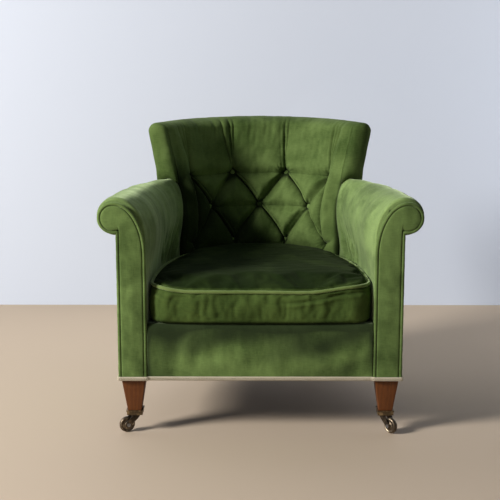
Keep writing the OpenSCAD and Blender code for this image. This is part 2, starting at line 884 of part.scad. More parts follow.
// Soft edge of each wing, in front of its post and above the arm
edge_run = 23;
edge_flat = 6;
edge_shares = [0, 0.26, 0.5, 0.72, 0.88, 0.97];
edge_min_share = 0.12;
edge_steps = 8;
edge_z_shares = [0.23, 0.46, 0.73];
edge_zs = [for (k = edge_z_shares) blend(arm_z, back_z, k)];
function edge_narrow(u) = max(edge_min_share, sqrt(1 - pow(max(0, (u * edge_run - edge_flat) / (edge_run - edge_flat)), 2)));
function edge_off(s, z, k, side) =
    let (a = inner_off(s, z), b = outer_off(s, z), mid = (a + b) / 2)
    mid + (side > 0 ? b - mid : a - mid) * k;
function edge_ring(u) =
    let (
        s = wing_s + seat_gap + u * (edge_run - seat_gap),
        k = edge_narrow(u),
        lo = foot_turn(edge_off(s, arm_z, k, -1)),
        hi = foot_turn(edge_off(s, arm_z, k, 1)),
        a = edge_off(s, back_z, k, -1),
        b = edge_off(s, back_z, k, 1)
    )
    concat(
        [for (a = spread(hi, lo, edge_steps)) foot_pt(a)],
        [for (z = edge_zs) [edge_off(s, z, k, -1), z]],
        [for (t = [0:30:180]) [(a + b) / 2 - (b - a) / 2 * cos(t), back_z + crown_h(s) * k * sin(t)]],
        [for (i = [2:-1:0]) [edge_off(s, edge_zs[i], k, 1), edge_zs[i]]]
    );
module wing_edge(side) {
    color(velvet)
        centred()
            handed(side)
                skin([
                    for (i = [len(edge_shares) - 1:-1:0])
                        let (u = edge_shares[i], s = wing_s + seat_gap + u * (edge_run - seat_gap))
                            [for (p = edge_ring(u)) tub(s, p[0], p[1])]
                ]);
}

outer_shares = [0, 0.2, 0.45, 0.63, 0.73, 0.81, 0.9, 1];
outer_zs = [for (k = outer_shares) blend(frame_z, back_z - seat_gap, k)];
module outside_back() {
    n = len(outer_zs) - 1;
    color(velvet)
        centred()
            skin([
                for (s = run_ss(wing_s, -wing_s))
                    concat(
                        [for (z = outer_zs) tub(s, outer_off(s, z) - cover_t, z)],
                        [for (i = [n:-1:0]) tub(s, outer_off(s, outer_zs[i]), outer_zs[i])]
                    )
            ], thin = true);
}

// Covered buttons
button_r = 8;
button_h = 5;
button_rim = 1;
button_lift = 7.5;
shank_low = 1.2;
shank_r = 1.4;
module button(s, off, z, lean) {
    v = plan_normal(s);
    translate(tub(s, off, z))
        rotate([0, 0, atan2(v[1], v[0])])
            rotate([0, lean - 90, 0]) {
                translate([0, 0, button_lift])
                    rotate_extrude($fn = 32)
                        polygon(concat(
                            [[0, 0], [button_r - button_rim, 0]],
                            [for (a = [0:15:90])
                                [button_r * cos(a), button_rim + (button_h - button_rim) * sin(a)]]
                        ));
                translate([0, 0, shank_low])
                    cylinder(h = button_lift - shank_low + button_rim / 2, r = shank_r, $fn = 24);
            }
}
function back_lean(s, z) =
    atan((inner_off(s, z + bend_soft) - inner_off(s, z - bend_soft)) / (2 * bend_soft));
module tuft_buttons() {
    color(velvet)
        centred() {
            for (b = tufts)
                button(b[0], inner_off(b[0], b[1]) + tuft_in(b[0], b[1]), b[1], back_lean(b[0], b[1]));
            for (side = [-1, 1], fa = arm_button_fas)
                handed(side)
                    button(
                        plan_len - fa,
                        arm_tuft - arm_w(fa)
                            - belly(fa) * smooth((arm_button_z - arm_belly_z0) / (arm_belly_z1 - arm_belly_z0)),
                        arm_button_z, 0
                    );
        }
}

// Braid round the bottom edge of the covers
gimp_t = 2;
gimp_low = 5;
gimp_z = frame_z - gimp_low;
function base_loop(out) = concat(
    [for (s = run_ss(plan_len, -plan_len)) plan_off(s, cover_out + out)],
    [
        [-plan_half_w - cover_out - out, face_d - out],
        [-border_half + out, face_d - out],
        [-border_half + out, border_d - out],
        [border_half - out, border_d - out],
        [border_half - out, face_d - out],
        [plan_half_w + cover_out + out, face_d - out]
    ]
);
module gimp() {
    color("#d8cfb4")
        centred()
            slab(gimp_z, gimp_z + gimp_h)
                difference() {
                    polygon(base_loop(seat_gap + gimp_t));
                    polygon(base_loop(seat_gap));
                }
}

// Loose cushion with its two pipings
cushion_side = cushion_gap;
cushion_d = -2;
cushion_bow = 3;
cushion_mid_d = 270;
cushion_lie = 0.2;
cushion_ease = 6;
cushion_cols = 27;
cushion_z = deck_z + cushion_lie;
cushion_x = plan_half_w - arm_pad - cushion_side;
cushion_s = plan_len - cushion_d - cushion_corner - cushion_ease;
cushion_loop = concat(
    [for (s = spread(cushion_s, -cushion_s, cushion_cols)) plan_off(s, -seat_pad(s) - cushion_side)],
    [for (a = [180:22.5:270])
        [-cushion_x + cushion_corner + cushion_corner * cos(a),
         cushion_d + cushion_corner + cushion_corner * sin(a)]],
    [for (t = [-2:2])
        [t * (cushion_x - cushion_corner) / 3, cushion_d - cushion_bow * (1 - pow(t / 3, 2))]],
    [for (a = [270:22.5:360])
        [cushion_x - cushion_corner + cushion_corner * cos(a),
         cushion_d + cushion_corner + cushion_corner * sin(a)]]
);
function loop_in(pts, i, in) =
    let (n = len(pts), v = unit(pts[(i + 1) % n] - pts[(i + n - 1) % n]))
    pts[i] + [v[1], -v[0]] * -in;
lift_from_x = 120;
lift_run_x = 110;
lift_from_d = 50;
lift_run_d = 100;
function side_lift(p) =
    cushion_lift * max(smooth((abs(p[0]) - lift_from_x) / lift_run_x), smooth((p[1] - lift_from_d) / lift_run_d));
low_pipe_lie = 0.8;
low_pipe_z = piping_r + low_pipe_lie;
// Height above the seat: from the lower piping to the upper one, and from there to the crown
function cushion_h(p, box_share, crown_share) =
    let (h = cushion_pipe_z + side_lift(p), b = blend(low_pipe_z, h, box_share))
    blend(b, cushion_crown, crown_share);
function cushion_pt(i, in, shrink, box_share, crown_share) =
    let (
        p = loop_in(cushion_loop, i, in),
        q = p * (1 - shrink) + [0, cushion_mid_d] * shrink,
        h = box_share < 0 ? 0 : cushion_h(cushion_loop[i], box_share, crown_share)
    )
    [q[0], q[1], cushion_z + h];
groove_gap = 0.6;
cushion_groove = 2 * piping_r + groove_gap;
box_in = 0.4;
box_edge_in = 2.4;
seam_step = 4;
crown_in = 8;
// Distance in from the edge, then shares: towards the middle, up the boxing, and up the crown
cushion_levels = [
    [cushion_groove + cushion_tuck + seam_step, 0, -1, 0],
    [cushion_groove + cushion_tuck, 0, 0, 0],
    [cushion_groove + cushion_tuck - seam_step / 4, 0, 0.06, 0],
    [cushion_groove + cushion_tuck - seam_step, 0, 0.1, 0],
    [cushion_groove - seam_step, 0, 0.14, 0],
    [box_edge_in, 0, 0.25, 0],
    [box_in, 0, 0.5, 0],
    [box_edge_in, 0, 0.76, 0],
    [cushion_groove - seam_step, 0, 0.91, 0],
    [cushion_groove, 0, 1, 0],
    [cushion_groove + seam_step, 0, 1, 0.2],
    [cushion_groove + crown_in, 0.04, 1, 0.52],
    [cushion_groove + crown_in, 0.12, 1, 0.8],
    [cushion_groove + crown_in, 0.28, 1, 0.94],
    [cushion_groove + crown_in, 0.5, 1, 0.985],
    [cushion_groove + crown_in, 0.75, 1, 1]
];
module cushion() {
    color(velvet)
        centred()
            skin([
                for (lv = cushion_levels)
                    [for (i = [0:len(cushion_loop) - 1]) cushion_pt(i, lv[0], lv[1], lv[2], lv[3])]
            ]);
}
module cushion_pipe(in, box_share) {
    color(piping_green)
        centred()
            tube_loop(
                [for (i = [0:len(cushion_loop) - 1]) cushion_pt(i, in, 0, box_share, 0)],
                piping_r, 6, [0, 0, 1]
            );
}
module cushion_piping_top() {
    cushion_pipe(piping_r, 1);
}
module cushion_piping_bottom() {
    cushion_pipe(piping_r + cushion_tuck, 0);
}

// Castors: cup fixed on the leg, horn with its swivel pin, wheel and axle
castor_at = [
    [-leg_front_x, leg_front_d], [leg_front_x, leg_front_d],
    [-leg_rear_x, leg_rear_d + leg_rake], [leg_rear_x, leg_rear_d + leg_rake]
];
pin_r = 3;
plate_r = 15;
plate_t = 3.2;
plate_gap = 0.2;
arm_t = 3;
arm_gap = 0.7;
hub_r = 7;
cup_gap = 0.2;
head_lie = 0.1;
rivet_t = 1.4;
rivet_lap = 0.6;
rivet_edge = 1.6;
pin_over = 0.5;
cup_in = leg_foot + cup_gap;
cup_out = cup_in + 2 * cup_wall;
plate_z1 = cup_z0 - plate_gap;
plate_z0 = plate_z1 - plate_t;

module castor_place(i) {
    centred()
        translate([castor_at[i][0], castor_at[i][1], 0])
            rotate([0, 0, castor_turns[i]])
                children();
}
module block_at(w, z0, z1) {
    translate([-w / 2, -w / 2, z0]) cube([w, w, z1 - z0]);
}
module castor_cups() {
    color(brass)
        centred()
            for (p = castor_at)
                translate([p[0], p[1], 0])
                    difference() {
                        union() {
                            block_at(cup_out, cup_z0, cup_z1);
                            block_at(cup_out + 2 * cup_lip, cup_z1 - cup_lip_h, cup_z1);
                        }
                        block_at(cup_in, leg_end_z, cup_z1 + cut_over);
                        translate([0, 0, cup_z0 - cut_over])
                            cylinder(h = cup_floor + 2 * cut_over, r = pin_r + bore_gap, $fn = 48);
                    }
}
horn_back = 11;
horn_fore = 10;
horn_bite = 1;
horn_throat = 8;
horn_throat_x = 3;
module horn_arm() {
    rotate([90, 0, 0])
        linear_extrude(arm_t)
            difference() {
                union() {
                    polygon([
                        [-horn_back, plate_z1 - horn_bite],
                        [horn_fore, plate_z1 - horn_bite],
                        [castor_trail + hub_r, wheel_r + horn_bite],
                        [castor_trail, wheel_r - hub_r],
                        [castor_trail - hub_r, wheel_r - horn_bite],
                        [-horn_throat_x, plate_z0 - horn_throat]
                    ]);
                    translate([castor_trail, wheel_r]) circle(r = hub_r, $fn = 40);
                }
                translate([castor_trail, wheel_r]) circle(r = axle_r + press_gap, $fn = 48);
            }
}
module castor_horn(i) {
    color(dark_brass)
        castor_place(i) {
            translate([0, 0, plate_z0]) cylinder(h = plate_t, r = plate_r, $fn = 64);
            translate([0, 0, plate_z1 - horn_bite])
                cylinder(h = cup_floor + plate_gap + horn_bite + pin_over, r = pin_r, $fn = 48);
            translate([0, 0, leg_end_z + head_lie]) cylinder(h = head_h, r = head_r, $fn = 48);
            translate([0, wheel_w / 2 + arm_gap + arm_t, 0]) horn_arm();
            translate([0, -wheel_w / 2 - arm_gap, 0]) horn_arm();
        }
}
module castor_axle(i) {
    out = wheel_w / 2 + arm_gap + arm_t;
    color(steel)
        castor_place(i)
            translate([castor_trail, 0, wheel_r])
                rotate([90, 0, 0]) {
                    translate([0, 0, -out - rivet_lap]) cylinder(h = 2 * (out + rivet_lap), r = axle_r, $fn = 48);
                    for (k = [-1, 1])
                        translate([0, 0, k * (out + bore_gap + rivet_t / 2)])
                            cylinder(h = rivet_t, r = axle_r + rivet_edge, $fn = 48, center = true);
                }
}
hub_face_r = 7.5;
hub_side_r = 9;
web_in = 2;
rim_t = 4;
rim_r = wheel_r - rim_t;
rim_in = 1.2;
rim_edge = 2;
tread_edge = 0.6;
tread_in = 3;
tread_w = 5;
module castor_wheel(i) {
    w = wheel_w / 2;
    color(brass)
        castor_place(i)
            translate([castor_trail, 0, wheel_r])
                rotate([90, 0, 0])
                    rotate_extrude($fn = 96)
                        polygon([
                            [axle_r + bore_gap, -w], [hub_face_r, -w], [hub_side_r, web_in - w],
                            [rim_r, web_in - w], [wheel_r - rim_edge, rim_in - w],
                            [wheel_r - tread_edge, tread_in - w], [wheel_r, tread_w - w],
                            [wheel_r, w - tread_w], [wheel_r - tread_edge, w - tread_in],
                            [wheel_r - rim_edge, w - rim_in], [rim_r, w - web_in],
                            [hub_side_r, w - web_in], [hub_face_r, w], [axle_r + bore_gap, w]
                        ]);
}

front_seat_rail();
side_seat_rail(-1);  // side_seat_rail_l
side_seat_rail(1);  // side_seat_rail_r
back_seat_rail();
corner_blocks();
arm_stump(-1);  // arm_stump_l
arm_stump(1);  // arm_stump_r
facing_board(-1);  // facing_board_l
facing_board(1);  // facing_board_r
arm_rail(-1);  // arm_rail_l
arm_rail(1);  // arm_rail_r
wing_post(-1);  // wing_post_l
wing_post(1);  // wing_post_r
back_post(-1);  // back_post_l
back_post(1);  // back_post_r
top_back_rail();
arm_tacking_rail(-1);  // arm_tacking_rail_l
arm_tacking_rail(1);  // arm_tacking_rail_r
back_tacking_rail();
leg_front(-1);  // leg_front_l
leg_front(1);  // leg_front_r
leg_rear(-1);  // leg_rear_l
leg_rear(1);  // leg_rear_r
seat_webbing();
seat_springs();
spring_hessian();
seat_stuffing();
dust_cover();
front_border();
inside_back();
wing_edge(-1);  // wing_edge_l
wing_edge(1);  // wing_edge_r
tuft_buttons();
inside_arm(-1);  // inside_arm_l
inside_arm(1);  // inside_arm_r
arm_facing(-1);  // arm_facing_l
arm_facing(1);  // arm_facing_r
facing_piping(-1);  // facing_piping_l
facing_piping(1);  // facing_piping_r
outside_arm(-1);  // outside_arm_l
outside_arm(1);  // outside_arm_r
outside_back();
gimp();
cushion();
cushion_piping_top();
cushion_piping_bottom();
castor_cups();
castor_horn(0);  // castor_horn_fl
castor_horn(1);  // castor_horn_fr
castor_horn(2);  // castor_horn_rl
castor_horn(3);  // castor_horn_rr
castor_axle(0);  // castor_axle_fl
castor_axle(1);  // castor_axle_fr
castor_axle(2);  // castor_axle_rl
castor_axle(3);  // castor_axle_rr
castor_wheel(0);  // castor_wheel_fl
castor_wheel(1);  // castor_wheel_fr
castor_wheel(2);  // castor_wheel_rl
castor_wheel(3);  // castor_wheel_rr
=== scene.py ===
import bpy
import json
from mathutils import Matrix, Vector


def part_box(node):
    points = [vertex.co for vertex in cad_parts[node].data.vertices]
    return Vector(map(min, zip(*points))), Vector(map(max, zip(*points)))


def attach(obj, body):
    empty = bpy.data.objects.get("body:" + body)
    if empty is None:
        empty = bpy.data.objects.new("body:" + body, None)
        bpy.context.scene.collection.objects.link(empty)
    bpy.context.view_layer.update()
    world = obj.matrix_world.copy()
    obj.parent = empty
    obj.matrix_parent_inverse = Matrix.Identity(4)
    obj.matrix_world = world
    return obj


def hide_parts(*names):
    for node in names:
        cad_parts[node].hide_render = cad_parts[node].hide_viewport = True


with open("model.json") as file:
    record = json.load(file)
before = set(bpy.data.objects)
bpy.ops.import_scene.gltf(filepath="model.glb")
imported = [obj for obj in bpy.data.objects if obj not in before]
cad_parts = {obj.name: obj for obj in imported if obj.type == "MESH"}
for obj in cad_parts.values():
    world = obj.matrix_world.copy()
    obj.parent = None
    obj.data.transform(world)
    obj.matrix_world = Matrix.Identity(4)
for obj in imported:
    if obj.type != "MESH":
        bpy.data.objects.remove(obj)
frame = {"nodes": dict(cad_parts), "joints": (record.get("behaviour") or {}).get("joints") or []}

"""Tub chair in moss-green velvet: buttoned back, scroll arms, loose cushion, braid, legs and castors.

Lengths are in metres. Depth is measured back from the front plane of the arms, as on a cutting plan,
and `Plan` turns it into the chair's own frame.
"""

import json
import logging
import math
from collections.abc import Callable
from dataclasses import dataclass, field
from enum import Enum

import bpy
import numpy as np

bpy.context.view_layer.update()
LOG = logging.getLogger("tub_chair")
TAU = 2 * math.pi
CLEAR = 0.0003  # room kept between two covers
RUMPLE_WAVES = 7  # plane waves in a rumpled field
RUMPLE_PEAK = 2.6  # about the height that they reach together
RUMPLE_STRETCH = (0.7, 1.5)  # shortest and longest of them, as shares of the pitch
Array = np.ndarray
Piece = bpy.types.Object
Material = bpy.types.Material
Socket = bpy.types.NodeSocket
Point = tuple[float, float, float]
Colour = tuple[float, float, float, float]


class Side(Enum):
    """The two hands of the chair, as the sign of their X."""

    LEFT = -1
    RIGHT = 1


# Shaping functions on whole arrays

def smooth(t: Array | float) -> Array:
    """Rises from 0 to 1 as t does, with level ends: 3t squared less 2t cubed."""
    c = np.clip(t, 0.0, 1.0)
    return c * c * (3 - 2 * c)


def mix(a: Array | float, b: Array | float, t: Array | float) -> Array:
    """The value t of the way from a to b."""
    return a + (b - a) * t


def rise(x: Array, start: float, run: float) -> Array:
    """0 up to the start and 1 from a run beyond it, smooth in between."""
    return smooth((x - start) / run)


def fall(x: Array, end: float, run: float) -> Array:
    """0 from the end on and 1 up to a run before it, smooth in between."""
    return smooth((end - x) / run)


def bump(x: Array, centre: float, width: Array | float) -> Array:
    """A bell of height 1 round a centre: e to the minus of the squared distance in widths."""
    return np.exp(-(((x - centre) / width) ** 2))


def vee(x: Array, width: float) -> Array:
    """A sharp peak of height 1 at x = 0: e to the minus of the distance in widths."""
    return np.exp(-np.abs(x) / width)


def quarter(t: Array, fullness: float = 1.0) -> Array:
    """Drop of a quarter circle at t from its top: 1 less the root of 1 less t squared."""
    return 1 - np.sqrt(np.maximum(0.0, 1 - t**2 * fullness))


def soft_ramp(q: Array, soft: float) -> Array:
    """Zero below 0 and q above it, rounded: half of q plus the root of q squared plus soft squared."""
    return (q + np.sqrt(q * q + soft * soft)) / 2


def rumple(u: Array, v: Array, pitch: float, seed: int) -> Array:
    """A smooth irregular field of about plus or minus 1: plane waves of random heading and phase.

    Args:
        u: First coordinate of each point.
        v: Second coordinate of each point.
        pitch: Length of the waves.
        seed: Picks the headings.

    Returns:
        The height at each point.
    """
    rng = np.random.default_rng(seed)
    total = np.zeros(np.broadcast(u, v).shape)
    for _ in range(RUMPLE_WAVES):
        heading, phase, stretch = rng.uniform(0, TAU), rng.uniform(0, TAU), rng.uniform(*RUMPLE_STRETCH)
        wave = TAU / (pitch * stretch)
        total = total + np.sin(wave * (u * math.cos(heading) + v * math.sin(heading)) + phase)
    return total / RUMPLE_PEAK


# Meshes

def mesh_piece(name: str, points: Array, quads: Array, ends: list[list[int]] | None = None) -> Piece:
    """Makes an object of points and four-sided faces.

    Args:
        name: Name of the piece.
        points: Points, one row each.
        quads: Vertex numbers, four to a row.
        ends: Closing faces with any number of corners.

    Returns:
        The object, linked to the scene and smooth shaded.
    """
    mesh = bpy.data.meshes.new(name)
    mesh.from_pydata(points.reshape(-1, 3).tolist(), [], quads.tolist() + (ends or []))
    mesh.update()
    mesh.shade_smooth()
    piece = bpy.data.objects.new(name, mesh)
    bpy.context.scene.collection.objects.link(piece)
    return piece


def grid_quads(rows: int, cols: int, loop_rows: bool, loop_cols: bool) -> Array:
    """Vertex numbers of the faces of a grid, closed on itself along either way."""
    i = np.arange(rows if loop_rows else rows - 1)
    j = np.arange(cols if loop_cols else cols - 1)
    a, b = np.meshgrid(i, j, indexing="ij")
    c, d = (a + 1) % rows, (b + 1) % cols
    return np.stack([a * cols + b, a * cols + d, c * cols + d, c * cols + b], -1).reshape(-1, 4)


def skin(name: str, rings: Array, loop: bool = False) -> Piece:
    """Closed solid through rings of points, with flat ends unless the rings form a loop.

    Args:
        name: Name of the piece.
        rings: Points by ring and place in the ring.
        loop: True if the last ring joins the first.

    Returns:
        The object.
    """
    m, n, _ = rings.shape
    quads = grid_quads(m, n, loop, True)
    ends = [] if loop else [list(range(n - 1, -1, -1)), list(range((m - 1) * n, m * n))]
    return outwards(mesh_piece(name, rings, quads, ends))


def outwards(piece: Piece) -> Piece:
    """The piece with its faces turned outwards."""
    if signed_volume(piece.data) < 0:
        piece.data.flip_normals()
    return piece


def signed_volume(mesh: bpy.types.Mesh) -> float:
    """Volume of a closed mesh: a sixth of its triangles' triple products, below zero if inside out."""
    mesh.calc_loop_triangles()
    tri = np.empty(len(mesh.loop_triangles) * 3, np.int32)
    mesh.loop_triangles.foreach_get("vertices", tri)
    co = vertex_array(mesh)[tri].reshape(-1, 3, 3)
    return float(np.einsum("ij,ij->i", co[:, 0], np.cross(co[:, 1], co[:, 2])).sum() / 6)


def vertex_array(mesh: bpy.types.Mesh) -> Array:
    """The mesh's points, one row each."""
    co = np.empty(len(mesh.vertices) * 3, np.float32)
    mesh.vertices.foreach_get("co", co)
    return co.reshape(-1, 3).astype(float)


def unit_rows(v: Array) -> Array:
    """Each vector at length 1."""
    return v / np.maximum(np.linalg.norm(v, axis=-1, keepdims=True), 1e-12)


def tube_rings(path: Array, radius: Array | float, sides: int, hint: Point, loop: bool) -> Array:
    """Rings of a round tube along a path.

    Each point is one of the path's plus the radius times the cosine and sine of the turn round the
    path.

    Args:
        path: Points along the middle.
        radius: One radius, or one for each point.
        sides: Points in a ring.
        hint: A direction that the path doesn't run along, from which the turn is counted.
        loop: True if the path is closed.

    Returns:
        Points by ring and place in the ring.
    """
    ahead = np.roll(path, -1, 0) - np.roll(path, 1, 0)
    if not loop:
        ahead[0], ahead[-1] = path[1] - path[0], path[-1] - path[-2]
    t = unit_rows(ahead)
    hint = np.asarray(hint, float)
    side = unit_rows(hint - t * (t @ hint)[:, None])
    up = np.cross(t, side)
    turn = np.arange(sides)[None, :, None] * TAU / sides
    r = np.broadcast_to(np.asarray(radius, float), (len(path),))[:, None, None]
    return path[:, None] + r * (np.cos(turn) * side[:, None] + np.sin(turn) * up[:, None])


def run_length(path: Array) -> Array:
    """Length run along a path up to each of its points."""
    return np.concatenate([[0], np.cumsum(np.linalg.norm(np.diff(path, axis=0), axis=1))])


def resample(path: Array, count: int, loop: bool) -> Array:
    """Points evenly spaced along a path, by running length."""
    pts = np.vstack([path, path[:1]]) if loop else path
    run = run_length(pts)
    at = np.linspace(0, run[-1], count + 1)[:-1] if loop else np.linspace(0, run[-1], count)
    return np.stack([np.interp(at, run, pts[:, k]) for k in range(pts.shape[1])], -1)


def soften(path: Array, passes: int) -> Array:
    """Rounds a closed path: each pass keeps half of a point and adds a quarter of each neighbour."""
    for _ in range(passes):
        path = path / 2 + np.roll(path, 1, 0) / 4 + np.roll(path, -1, 0) / 4
    return path


def paint_light_and_tone(piece: Piece, nap: Array | float) -> None:
    """Keeps painted light and shade at each point: -1 painted shade deep in a fold, 0 plain, 1 a
    painted highlight on a crown; some pieces add random tone to it.
    """
    layer = piece.data.attributes.new("nap", "FLOAT", "POINT")
    plain = np.zeros(len(piece.data.vertices), np.float32)
    layer.data.foreach_set("value", plain + np.asarray(nap, np.float32).ravel())


def move_points(mesh: bpy.types.Mesh, points: Array) -> None:
    """Puts a mesh's points in new places."""
    mesh.vertices.foreach_set("co", points.astype(np.float32).ravel())
    mesh.update()


def mirrored(piece: Piece, name: str) -> Piece:
    """A copy of a piece on the other side of the chair, with its faces still outwards."""
    mesh = piece.data.copy()
    mesh.name = name
    mesh.flip_normals()
    move_points(mesh, vertex_array(mesh) * np.array([-1.0, 1.0, 1.0]))
    twin = bpy.data.objects.new(name, mesh)
    bpy.context.scene.collection.objects.link(twin)
    return twin


def dress(piece: Piece, material: Material, body: str, slot: str,
          nodes: tuple[str, ...] = (), fill: float | None = None) -> None:
    """Gives a piece its finish, its body and the nodes that it stands for.

    Args:
        piece: The piece.
        material: Its finish.
        body: Name of the body that it rides on.
        slot: Not used.
        nodes: Nodes that it replaces.
        fill: Not used.
    """
    piece.data.materials.clear()
    piece.data.materials.append(material)
    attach(piece, body)
    if nodes:
        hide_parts(*nodes)
    LOG.info("%s: %d faces on %s", piece.name, len(piece.data.polygons), body)


def dress_pair(right: Piece, left: Piece, material: Material, slot: str, node: str,
               fill: float | None = None) -> None:
    """Gives both twins the same finish, and each the node of its own side."""
    for piece, side in ((right, "r"), (left, "l")):
        dress(piece, material, "chair", slot, (f"{node}_{side}",), fill=fill)


# Materials

class Tree:
    """A node tree being built: adds nodes and joins their sockets."""

    mix_share, mix_a, mix_b, mix_out = 0, 6, 7, 2  # sockets of a colour mix

    def __init__(self, tree: bpy.types.NodeTree) -> None:
        """Keeps the tree and empties it."""
        self.tree = tree
        tree.nodes.clear()

    def feed(self, node: bpy.types.Node, inputs: dict[str | int, object]) -> None:
        """Sets a node's inputs.

        Args:
            node: The node.
            inputs: Socket name or number, and the value or the output socket that feeds it.
        """
        for key, value in inputs.items():
            if isinstance(value, Socket):
                self.tree.links.new(value, node.inputs[key])
            else:
                node.inputs[key].default_value = value

    def add(self, kind: str, inputs: dict[str | int, object] | None = None,
            **settings: object) -> bpy.types.Node:
        """Adds a node.

        Args:
            kind: Blender's name of the node's type.
            inputs: Socket name or number, and the value or the output socket that feeds it.
            settings: Properties of the node.

        Returns:
            The node.
        """
        node = self.tree.nodes.new(kind)
        for key, value in settings.items():
            setattr(node, key, value)
        self.feed(node, inputs or {})
        return node

    def maths(self, operation: str, a: object, b: object) -> Socket:
        """The result of one sum, product or like step on two values."""
        return self.add("ShaderNodeMath", {0: a, 1: b}, operation=operation).outputs[0]

    def weighted(self, *parts: tuple[Socket, float]) -> Socket:
        """The sum of values, each times its weight."""
        total = self.maths("MULTIPLY", *parts[0])
        for part in parts[1:]:
            total = self.maths("ADD", total, self.maths("MULTIPLY", *part))
        return total

    def straight(self, value: Socket, start: float, rise: float) -> Socket:
        """A value on a straight line: start at 0, and start plus rise at 1."""
        return self.maths("ADD", self.maths("MULTIPLY", value, rise), start)

    def noise(self, place: Socket, scale: Socket | float, detail: float = 3.0,
              rough: float = 0.5, distort: float = 0.0) -> Socket:
        """The value of a noise at a place."""
        inputs = {"Vector": place, "Scale": scale, "Detail": detail, "Roughness": rough,
                  "Distortion": distort}
        return self.add("ShaderNodeTexNoise", inputs).outputs["Fac"]

    def stretch(self, place: Socket, scale: Point) -> Socket:
        """A place scaled along each axis."""
        return self.add("ShaderNodeMapping", {"Vector": place, "Scale": scale}).outputs["Vector"]

    def ramp(self, value: Socket, low: float, high: float) -> Socket:
        """The value spread so that low becomes 0 and high becomes 1, smoothly."""
        return self.add("ShaderNodeMapRange", {"Value": value, "From Min": low, "From Max": high},
                        interpolation_type="SMOOTHSTEP").outputs["Result"]

    def blend(self, share: object, a: object, b: object) -> Socket:
        """Two colours blended by a share."""
        inputs = {self.mix_share: share, self.mix_a: a, self.mix_b: b}
        return self.add("ShaderNodeMix", inputs, data_type="RGBA").outputs[self.mix_out]


def new_group(name: str, ins: dict[str, float],
              outs: tuple[str, ...]) -> tuple[bpy.types.NodeTree, Tree, dict[str, Socket]]:
    """Starts a shader node group with named values in and out.

    Args:
        name: Name of the group.
        ins: Input names and their default values.
        outs: Output names.

    Returns:
        The group, the tree builder and its input sockets by name.
    """
    group = bpy.data.node_groups.new(name, "ShaderNodeTree")
    group.interface.new_socket("Place", in_out="INPUT", socket_type="NodeSocketVector")
    for key, value in ins.items():
        socket = group.interface.new_socket(key, in_out="INPUT", socket_type="NodeSocketFloat")
        socket.default_value = value
    for key in outs:
        group.interface.new_socket(key, in_out="OUTPUT", socket_type="NodeSocketFloat")
    tree = Tree(group)
    entry = tree.add("NodeGroupInput")
    return group, tree, {s.name: s for s in entry.outputs}


def nap_group() -> bpy.types.NodeTree:
    """Velvet nap: patches that lean another way, brush marks, fine ribs both ways, and the pile."""
    ins = {"Patch": 9.0, "Brush": 55.0, "Rib": 430.0, "Pile": 1400.0}
    group, t, i = new_group("velvet_nap", ins, ("Shade", "Height"))

    def cloud(stretch: Point, scale: Socket, rough: float, distort: float = 0.0) -> Socket:
        """A noise in stretched space, spread over 0 to 1."""
        value = t.noise(t.stretch(i["Place"], stretch), scale, 4.0, rough, distort)
        return t.ramp(value, 0.32, 0.68)

    patch = cloud((0.8, 0.8, 1.0), i["Patch"], 0.55, distort=0.5)
    comb = cloud((1.0, 1.0, 0.30), i["Brush"], 0.55)
    rib = cloud((0.16, 0.16, 1.0), i["Rib"], 0.5)
    reed = cloud((1.0, 1.0, 0.14), i["Rib"], 0.5)
    pile = t.noise(i["Place"], i["Pile"], detail=2.0)
    shade = t.weighted((patch, 0.58), (comb, 0.20), (rib, 0.14), (reed, 0.08))
    height = t.weighted((pile, 0.45), (comb, 0.10), (rib, 0.27), (reed, 0.18))
    t.add("NodeGroupOutput", {"Shade": shade, "Height": height})
    return group


def grain_group() -> bpy.types.NodeTree:
    """Wood grain along Z: rings bent by noise, with short dark pores."""
    group, t, i = new_group("wood_grain", {"Rings": 60.0, "Pores": 500.0}, ("Figure", "Pore"))
    along = t.stretch(i["Place"], (1.0, 1.0, 0.12))
    inputs = {"Vector": along, "Scale": i["Rings"], "Distortion": 6.0, "Detail": 3.0,
              "Detail Scale": 1.2,
              "Detail Roughness": 0.6}
    wave = t.add("ShaderNodeTexWave", inputs, bands_direction="DIAGONAL")
    fine = t.noise(t.stretch(i["Place"], (1.0, 1.0, 0.05)), i["Pores"])
    t.add("NodeGroupOutput", {"Figure": wave.outputs["Fac"], "Pore": t.ramp(fine, 0.52, 0.68)})
    return group


def wear_group() -> bpy.types.NodeTree:
    """Age on metal and wood: a mask of rubbed places and a mask of dirt, from two noises."""
    group, t, i = new_group("age", {"Rub": 60.0, "Dirt": 140.0}, ("Rubbed", "Dirty"))
    rub = t.noise(i["Place"], i["Rub"], detail=5.0, rough=0.65)
    dirt = t.noise(i["Place"], i["Dirt"], detail=5.0, rough=0.7)
    t.add("NodeGroupOutput", {"Rubbed": t.ramp(rub, 0.45, 0.65), "Dirty": t.ramp(dirt, 0.4, 0.7)})
    return group


def weave_group() -> bpy.types.NodeTree:
    """Plain weave: the product of two sets of bands, at right angles."""
    group, t, i = new_group("plain_weave", {"Threads": 900.0}, ("Weave",))
    inputs = {"Vector": i["Place"], "Scale": i["Threads"], "Distortion": 0.4}
    bands = [t.add("ShaderNodeTexWave", inputs, bands_direction=axis).outputs["Fac"]
             for axis in ("X", "Y")]
    t.add("NodeGroupOutput", {"Weave": t.maths("MULTIPLY", *bands)})
    return group


GROUPS: dict[str, bpy.types.NodeTree] = {}


def group_node(t: Tree, build: Callable[[], bpy.types.NodeTree], place: Socket,
               **values: float) -> bpy.types.Node:
    """Places a shared node group in a material, building it the first time."""
    key = build.__name__
    if key not in GROUPS:
        GROUPS[key] = build()
    return t.add("ShaderNodeGroup", {"Place": place, **values}, node_tree=GROUPS[key])


